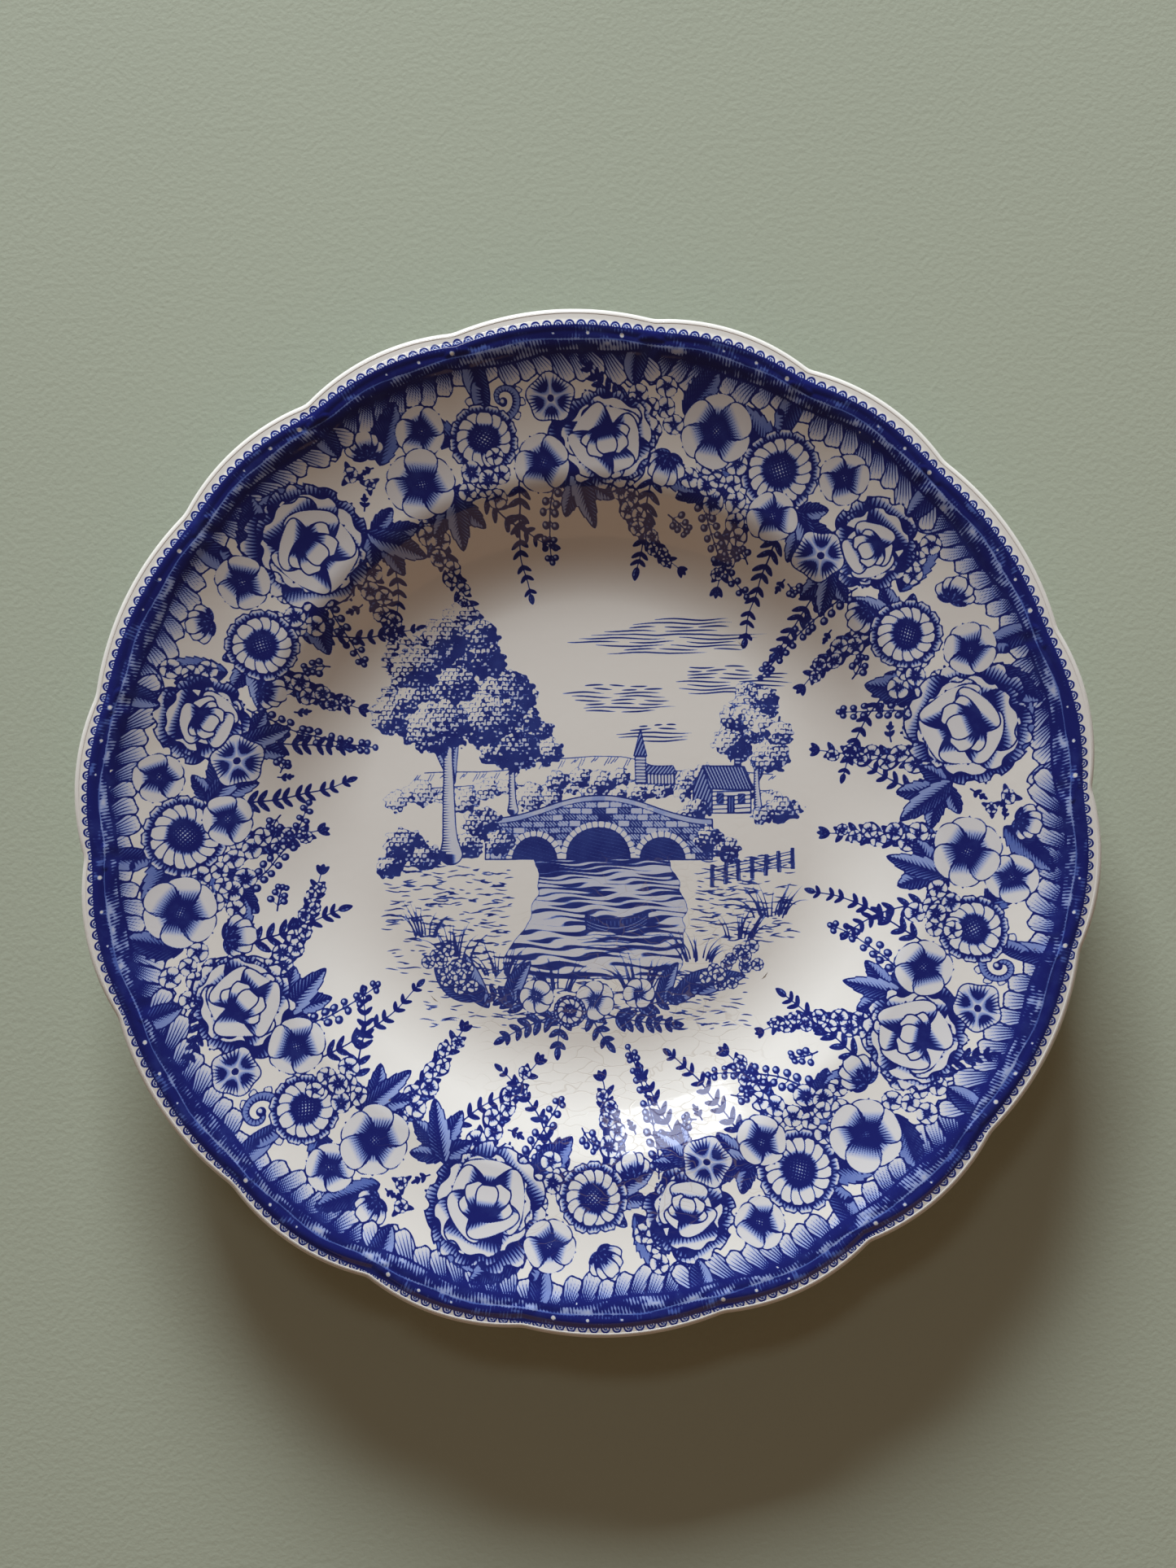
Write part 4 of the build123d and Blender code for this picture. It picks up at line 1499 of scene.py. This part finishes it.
def wear_group():
    """Age of a glaze: hair-fine crazing in one patch, pin specks, uneven gloss and a faint ripple.

    The cracks are the edges of Voronoi cells, bent and stretched, which fade out with the distance
    from the middle of their patch and where noise is low. The specks are the middles of rare cells.
    """
    number, vector = "NodeSocketFloat", "NodeSocketVector"
    tree, given, out = group_of(
        "glaze_wear",
        [("Crazing", number, 1.0), ("Crazed Place", vector, (0.0, -0.065, 0.01)),
         ("Crazed Reach", number, 0.05), ("Specks", number, 1.0), ("Gloss", number, 0.08)],
        [("Crazing Mask", number), ("Speck Mask", number), ("Roughness", number), ("Height", number)])
    place = add(tree, "ShaderNodeTexCoord").outputs["Object"]
    swirl = {"Vector": place, "Scale": 120.0, "Detail": 2.0}
    bent = add(tree, "ShaderNodeTexNoise", swirl).outputs["Color"]
    drift = vectors(tree, "MULTIPLY", "Vector", bent, (0.007, 0.007, 0.007))
    moved = vectors(tree, "ADD", "Vector", place, drift)
    long = vectors(tree, "MULTIPLY", "Vector", moved, (0.45, 1.3, 1.0))
    cells = add(tree, "ShaderNodeTexVoronoi", {"Vector": long, "Scale": 230.0}, feature="DISTANCE_TO_EDGE")
    crack = less(tree, band(tree, cells.outputs["Distance"], 0.004, 0.034))
    away = vectors(tree, "DISTANCE", "Value", place, given.outputs["Crazed Place"])
    share = sums(tree, "DIVIDE", away, given.outputs["Crazed Reach"])
    near = sums(tree, "SUBTRACT", noise(tree, place, 38.0), sums(tree, "MULTIPLY", share, 0.45))
    patch = band(tree, near, 0.05, 0.26)
    crazing = sums(tree, "MULTIPLY", sums(tree, "MULTIPLY", crack, patch), given.outputs["Crazing"])
    dots = add(tree, "ShaderNodeTexVoronoi", {"Vector": place, "Scale": 130.0}).outputs["Distance"]
    rare = band(tree, noise(tree, place, 60.0), 0.62, 0.70)
    pins = sums(tree, "MULTIPLY", less(tree, band(tree, dots, 0.02, 0.05)), rare)
    specks = sums(tree, "MULTIPLY", pins, given.outputs["Specks"])
    smear = sums(tree, "MULTIPLY_ADD", noise(tree, place, 38.0, 5.0, 0.65), 0.05, -0.02)
    tree.links.new(crazing, out.inputs["Crazing Mask"])
    tree.links.new(specks, out.inputs["Speck Mask"])
    tree.links.new(sums(tree, "ADD", given.outputs["Gloss"], smear), out.inputs["Roughness"])
    ripple = sums(tree, "MULTIPLY_ADD", noise(tree, place, 420.0), 0.35, noise(tree, place, 75.0))
    sunk = sums(tree, "SUBTRACT", ripple, sums(tree, "MULTIPLY", crazing, 0.3))
    tree.links.new(sunk, out.inputs["Height"])
    return tree


def grouped(tree, group, values):
    """Put a node group into a material."""
    made = tree.nodes.new("ShaderNodeGroup")
    made.node_tree = group
    for key, value in values.items():
        if isinstance(value, bpy.types.NodeSocket):
            tree.links.new(value, made.inputs[key])
        else:
            made.inputs[key].default_value = value
    return made


def new_material(name):
    """A material with its node tree and its Principled shader."""
    material = bpy.data.materials.new(name)
    material.use_nodes = True
    return material, material.node_tree, material.node_tree.nodes["Principled BSDF"]


# Stain in the cracks, iron specks, glaze pooled by the foot, and the height of its ripple in metres
CRACK_BROWN = (0.34, 0.26, 0.18, 1.0)
SPECK_BROWN = (0.10, 0.06, 0.035, 1.0)
POOLED_BLUE = (0.55, 0.63, 0.66, 1.0)
GLAZE_RIPPLE = 0.00005


def worn_glaze(tree, shader, colour, wear):
    """Finish a glaze: crazing and specks over its colour, gloss and ripple from the wear group."""
    faint = sums(tree, "MULTIPLY", wear.outputs["Crazing Mask"], 0.24)
    stained = mix_colour(tree, faint, colour, CRACK_BROWN)
    specked = mix_colour(tree, wear.outputs["Speck Mask"], stained, SPECK_BROWN)
    tree.links.new(specked, shader.inputs["Base Color"])
    tree.links.new(wear.outputs["Roughness"], shader.inputs["Roughness"])
    tree.links.new(relief_normal(tree, wear.outputs["Height"], GLAZE_RIPPLE), shader.inputs["Normal"])
    shader.inputs["IOR"].default_value = 1.5


def printed_glaze(name, groups, colours, strength):
    """Clear glaze over the printed ink, which comes from the tint and line values of the mesh."""
    material, tree, shader = new_material(name)
    tint = add(tree, "ShaderNodeAttribute", attribute_name="tint").outputs["Fac"]
    line = add(tree, "ShaderNodeAttribute", attribute_name="line").outputs["Fac"]
    ink = grouped(tree, groups[0], {
        "Tint": tint, "Line": line, "Strength": strength, "Patchiness": colours.ink_patchiness,
        "Ground": opaque(colours.glaze), "Pale": opaque(colours.ink_pale),
        "Middle": opaque(colours.ink_middle), "Deep": opaque(colours.ink_deep)})
    wear = grouped(tree, groups[1], {"Crazing": 1.0, "Specks": 1.0, "Gloss": colours.gloss})
    worn_glaze(tree, shader, ink.outputs["Color"], wear)
    return material


def body_glaze(groups, colours):
    """Clear glaze over the white body: faintly blue where it pools by the foot, bare where it stands.

    It pools near the foot's radius and low down, and is bare below a ragged line just over the floor.
    """
    material, tree, shader = new_material("body_glaze")
    place = add(tree, "ShaderNodeTexCoord").outputs["Object"]
    up = add(tree, "ShaderNodeSeparateXYZ", {0: place}).outputs["Z"]
    radius = vectors(tree, "LENGTH", "Value", vectors(tree, "MULTIPLY", "Vector", place, (1.0, 1.0, 0.0)))
    ragged = sums(tree, "MULTIPLY_ADD", noise(tree, place, 260.0, 3.0), 0.0004, 0.00012)
    glazed = band(tree, sums(tree, "SUBTRACT", up, ragged), 0.0, 0.00012)
    off_foot = sums(tree, "ABSOLUTE", sums(tree, "SUBTRACT", radius, FOOT_RADIUS * MM))
    beside, low = less(tree, band(tree, off_foot, 0.0022, 0.0070)), less(tree, band(tree, up, 0.004, 0.010))
    pooled = sums(tree, "MULTIPLY", beside, low)
    clouds = band(tree, noise(tree, place, 30.0, 3.0), 0.3, 0.8)
    cloudy = mix_colour(tree, clouds, opaque(colours.glaze), opaque(colours.glaze, 0.97))
    tinted = mix_colour(tree, sums(tree, "MULTIPLY", pooled, 0.45), cloudy, POOLED_BLUE)
    grain = noise(tree, place, 900.0, 4.0)
    clay = mix_colour(tree, grain, opaque(colours.bare_clay), opaque(colours.bare_clay, 0.72))
    colour = mix_colour(tree, glazed, clay, tinted)
    wear = grouped(tree, groups[1], {"Crazing": 0.4, "Specks": 1.0, "Gloss": colours.gloss})
    worn_glaze(tree, shader, colour, wear)
    rough = sums(tree, "MULTIPLY_ADD", less(tree, glazed), 0.7, wear.outputs["Roughness"])
    tree.links.new(rough, shader.inputs["Roughness"])
    return material


def floor_paint(colours):
    """Matt paint with a faint uneven tone and roller texture.

    With the distance from the middle it fades into the backdrop, for the camera alone.
    """
    material, tree, shader = new_material("floor_paint")
    place = add(tree, "ShaderNodeTexCoord").outputs["Object"]
    uneven = band(tree, noise(tree, place, 3.0, 3.0), 0.3, 0.7)
    colour = mix_colour(tree, uneven, opaque(colours.floor), opaque(colours.floor, 0.96))
    tree.links.new(colour, shader.inputs["Base Color"])
    rolled = noise(tree, place, 700.0, 3.0)
    tree.links.new(relief_normal(tree, rolled, 0.0002, 0.5), shader.inputs["Normal"])
    shader.inputs["Roughness"].default_value = 0.8
    away = vectors(tree, "LENGTH", "Value", place)
    seen = add(tree, "ShaderNodeLightPath").outputs["Is Camera Ray"]
    far = sums(tree, "MULTIPLY", band(tree, away, 0.45, 1.9), seen)
    glow = add(tree, "ShaderNodeEmission", {"Color": opaque(colours.backdrop)})
    ends = {0: far, 1: shader.outputs["BSDF"], 2: glow.outputs["Emission"]}
    swept = add(tree, "ShaderNodeMixShader", ends)
    tree.links.new(swept.outputs["Shader"], tree.nodes["Material Output"].inputs["Surface"])
    return material


# ---------------------------------------------------------------- settings


def tone(name, description, default):
    """A colour setting."""
    return FloatVectorProperty(
        name=name, description=description, subtype="COLOR", size=3, min=0, max=1, default=default)


def size_mm(name, description, default, low, high):
    """A size setting in millimetres."""
    return FloatProperty(
        name=name, description=description + ", in millimetres", default=default, min=low, max=high)


def share(name, description, default):
    """A setting from nothing to all."""
    return FloatProperty(
        name=name, description=description, default=default, min=0.0, max=1.0, subtype="FACTOR")


class PlateShape(bpy.types.PropertyGroup):
    """Sizes of the brim's relief, and how finely the prints are made"""

    cord_height: size_mm("Cord height", "Height of the moulded cords", 0.30, 0.0, 0.5)
    cord_inset: size_mm("Cord inset", "Distance of the cords from the edge", 4.6, 3.0, 8.0)
    cord_half_width: size_mm("Cord half width", "Half the width of a cord", 1.8, 0.5, 3.0)
    cord_overrun: size_mm("Cord overrun", "How far a cord runs past each notch", 2.5, 0.0, 8.0)
    second_height: size_mm("Second cord height", "Height of the softer inner cord", 0.22, 0.0, 0.5)
    second_inset: size_mm("Second cord inset", "Distance of the inner cord from the edge", 8.2, 5.0, 15.0)
    valley_depth: size_mm("Valley depth", "Depth of the valleys below the notches", 0.35, 0.0, 1.0)
    margin_fall: size_mm("Margin fall", "How far the bare margin falls towards the lip", 0.12, 0.0, 0.5)
    print_spacing: size_mm("Print spacing", "Grid spacing of the printed layers", 0.27, 0.1, 2.0)
    border_sectors: IntProperty(
        name="Border sectors", description="Number of sectors that the printed border is made in",
        default=9, min=3, max=18)


class PlateColours(bpy.types.PropertyGroup):
    """Colours of the glaze, the ink, the clay and the studio"""

    glaze: tone("Glaze", "Colour of the glazed body", (0.75, 0.73, 0.69))
    ink_pale: tone("Pale ink", "Colour of the lightest tint", (0.31, 0.385, 0.66))
    ink_middle: tone("Middle ink", "Colour of the middle tint", (0.075, 0.13, 0.44))
    ink_deep: tone("Deep ink", "Colour of the darkest lines", (0.009, 0.015, 0.145))
    ink_patchiness: share("Ink patchiness", "How unevenly the ink took", 0.22)
    gloss: share("Gloss roughness", "Roughness of the glaze", 0.06)
    bare_clay: tone("Bare clay", "Colour of the unglazed standing edge", (0.62, 0.54, 0.42))
    floor: tone("Floor", "Colour of the floor", (0.42, 0.465, 0.365))
    backdrop: tone("Backdrop", "Colour of the backdrop, as the camera sees it", (0.48, 0.52, 0.44))


class PlateStage(bpy.types.PropertyGroup):
    """Strength of the lights and height of the camera"""

    window_power: FloatProperty(
        name="Window power", description="Power of the window light in watts",
        default=202.0, min=0.0, max=1000.0, subtype="POWER")
    fill: share("Fill", "Strength of the even light from all round", 0.11)
    camera_height: FloatProperty(
        name="Camera height", description="Height of the camera over the rim",
        default=0.42, min=0.1, max=3.0, subtype="DISTANCE", unit="LENGTH")


# ---------------------------------------------------------------- operators


def effect_groups():
    """The ink and wear node groups, built once."""
    made = bpy.data.node_groups
    return made.get("cobalt_ink") or ink_group(), made.get("glaze_wear") or wear_group()


# Sway of the centre's lines beside the border's, and strength of the centre's ink
CENTRE_FREEDOM = 0.45
CENTRE_INK = 0.94


def engraved_plate(cell):
    """The whole print in the plan: the border, and the centre turned upright to the camera.

    The centre is drawn with less sway, because its lines are finer. The transfer was laid a
    little low of the plate's centre.
    """
    sheet = Engraving(RIM + 1.0, cell)
    border(sheet)
    sheet.turn = math.radians(PRINT_TURN)
    sheet.freedom = CENTRE_FREEDOM
    vignette(sheet)
    sheet.soften()
    low = math.radians(PRINT_SHIFT_WAY)
    sheet.shift = (PRINT_SHIFT * math.cos(low), PRINT_SHIFT * math.sin(low))
    return sheet


def finish_piece(obj, material, slot, *nodes):
    """Give a piece its material and body, and hide the nodes that it stands for. slot is not used."""
    obj.data.materials.append(material)
    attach(obj, BODY)
    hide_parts(*nodes)
    return obj


class PLATE_OT_body(bpy.types.Operator):
    """Make the glazed earthenware body: back, foot ring, lip and bare margin"""

    bl_idname = "plate.body"
    bl_label = "Earthenware Body"

    def execute(self, context):
        """Make the body from the scene's settings."""
        scene = context.scene
        material = body_glaze(effect_groups(), scene.plate_colours)
        finish_piece(body_mesh(scene.plate_shape), material, "glazed_body", "earthenware_body")
        return {"FINISHED"}


class PLATE_OT_prints(bpy.types.Operator):
    """Make the printed border and the printed centre"""

    bl_idname = "plate.prints"
    bl_label = "Printed Border and Centre"

    def execute(self, context):
        """Draw the print once, and make every printed layer from it."""
        scene = context.scene
        shape, colours = scene.plate_shape, scene.plate_colours
        groups = effect_groups()
        sheet = engraved_plate(PRINT_CELL)
        border = printed_glaze("border_glaze", groups, colours, 1.0)
        centre = printed_glaze("centre_glaze", groups, colours, CENTRE_INK)
        total = shape.border_sectors
        for index in range(total):
            sector = border_sector(index, total, shape, sheet.read)
            finish_piece(sector, border, "border_transfer", "border_print")
        for index in range(4):
            quarter = centre_quarter(index, shape, sheet.read)
            finish_piece(quarter, centre, "centre_transfer", "centre_print")
        return {"FINISHED"}


# Width that the camera sees at the rim's height, and how far above the plate's centre it looks
SEEN_WIDTH = 0.4097
SEEN_OFFSET = 0.0103
SENSOR = 36.0

# Half the floor's side, the point that the lamps face, and the colour of the even light
FLOOR_HALF = 4.0
LIGHT_AIM = (0.0, 0.0, 0.02)
WARM_FILL = (1.0, 0.64, 0.42, 1.0)

# Each lamp: its direction, elevation, distance, size, share of the window's power and colour
LAMPS = {
    "window": (99.5, 17.5, 3.4, (1.39, 0.78), 1.0, (0.90, 0.957, 1.0)),
    "window_top": (107.0, 52.0, 3.4, (0.87, 0.36), 0.036, (0.96, 0.98, 1.0)),
    "room": (-80.0, 38.0, 2.5, (2.4, 1.6), 0.024, (1.0, 0.60, 0.33)),
}


def studio_floor(colours):
    """A square floor under the plate."""
    mesh = bpy.data.meshes.new("floor")
    corners = [(x * FLOOR_HALF, y * FLOOR_HALF, 0.0) for x, y in ((-1, -1), (1, -1), (1, 1), (-1, 1))]
    mesh.from_pydata(corners, [], [(0, 1, 2, 3)])
    mesh.materials.append(floor_paint(colours))
    floor = bpy.data.objects.new("floor", mesh)
    bpy.context.scene.collection.objects.link(floor)
    return floor


def overhead_camera(stage):
    """The camera straight above, turned as the print is: its lens frames the seen width from its height."""
    camera = bpy.data.cameras.new("camera")
    camera.sensor_width = SENSOR
    camera.lens = SENSOR * stage.camera_height / SEEN_WIDTH
    eye = bpy.data.objects.new("camera", camera)
    up = math.radians(90.0 + PRINT_TURN)
    rim = STATION_HEIGHT[-1] * MM
    eye.location = (SEEN_OFFSET * math.cos(up), SEEN_OFFSET * math.sin(up), rim + stage.camera_height)
    eye.rotation_euler = (0.0, 0.0, math.radians(PRINT_TURN))
    bpy.context.scene.collection.objects.link(eye)
    return eye


def area_light(name, direction, elevation, distance, size, power, colour):
    """A rectangular light that faces the plate from a direction in the camera's plan and an elevation."""
    data = bpy.data.lights.new(name, "AREA")
    data.shape, data.size, data.size_y = "RECTANGLE", *size
    data.energy, data.color = power, colour
    lamp = bpy.data.objects.new(name, data)
    a, e = math.radians(direction + PRINT_TURN), math.radians(elevation)
    back = np.array([math.cos(a) * math.cos(e), math.sin(a) * math.cos(e), math.sin(e)])
    lamp.location = np.array(LIGHT_AIM) + back * distance
    lamp.rotation_mode = "QUATERNION"
    lamp.rotation_quaternion = Vector(-back).to_track_quat("-Z", "Y")
    bpy.context.scene.collection.objects.link(lamp)
    return lamp


def studio_world(stage, colours):
    """The even light from all round, and a pale backdrop that only the camera sees."""
    world = bpy.data.worlds.new("studio")
    world.use_nodes = True
    nodes, links = world.node_tree.nodes, world.node_tree.links
    fill, backdrop = nodes["Background"], nodes.new("ShaderNodeBackground")
    fill.inputs["Color"].default_value = WARM_FILL
    fill.inputs["Strength"].default_value = stage.fill
    backdrop.inputs["Color"].default_value = (*colours.backdrop, 1.0)
    choose, path = nodes.new("ShaderNodeMixShader"), nodes.new("ShaderNodeLightPath")
    links.new(path.outputs["Is Camera Ray"], choose.inputs["Fac"])
    links.new(fill.outputs["Background"], choose.inputs[1])
    links.new(backdrop.outputs["Background"], choose.inputs[2])
    links.new(choose.outputs["Shader"], nodes["World Output"].inputs["Surface"])
    return world


class PLATE_OT_stage(bpy.types.Operator):
    """Make the floor, the lights and the camera"""

    bl_idname = "plate.stage"
    bl_label = "Floor, Lights and Camera"

    def execute(self, context):
        """Make the stage from the scene's settings."""
        scene = context.scene
        stage = scene.plate_stage
        floor = studio_floor(scene.plate_colours)
        for name, (direction, elevation, distance, size, part, colour) in LAMPS.items():
            area_light(name, direction, elevation, distance, size, stage.window_power * part, colour)
        scene.world = studio_world(stage, scene.plate_colours)
        scene.camera = overhead_camera(stage)
        scene.view_settings.view_transform = "Standard"
        return {"FINISHED"}


class PLATE_PT_panel(bpy.types.Panel):
    """The plate's settings and operators in the sidebar"""

    bl_label = "Scalloped Dinner Plate"
    bl_idname = "PLATE_PT_panel"
    bl_space_type = "VIEW_3D"
    bl_region_type = "UI"
    bl_category = "Plate"

    def draw(self, context):
        """List the settings in boxes, then the operators."""
        layout = self.layout
        for group in (context.scene.plate_shape, context.scene.plate_colours, context.scene.plate_stage):
            box = layout.box()
            for key in group.bl_rna.properties.keys():
                if key not in ("rna_type", "name"):
                    box.prop(group, key)
        for operator in (PLATE_OT_body, PLATE_OT_prints, PLATE_OT_stage):
            layout.operator(operator.bl_idname)


CLASSES = (
    PlateShape, PlateColours, PlateStage, PLATE_OT_body, PLATE_OT_prints, PLATE_OT_stage, PLATE_PT_panel,
)


def register():
    """Register the classes and put the settings on the scene."""
    for cls in CLASSES:
        bpy.utils.register_class(cls)
    bpy.types.Scene.plate_shape = PointerProperty(type=PlateShape)
    bpy.types.Scene.plate_colours = PointerProperty(type=PlateColours)
    bpy.types.Scene.plate_stage = PointerProperty(type=PlateStage)


def unregister():
    """Undo register."""
    del bpy.types.Scene.plate_stage
    del bpy.types.Scene.plate_colours
    del bpy.types.Scene.plate_shape
    for cls in reversed(CLASSES):
        bpy.utils.unregister_class(cls)


def main():
    """Make the whole plate and its stage."""
    register()
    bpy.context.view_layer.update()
    bpy.ops.plate.body()
    bpy.ops.plate.prints()
    bpy.ops.plate.stage()


if __name__ == "__main__":
    main()
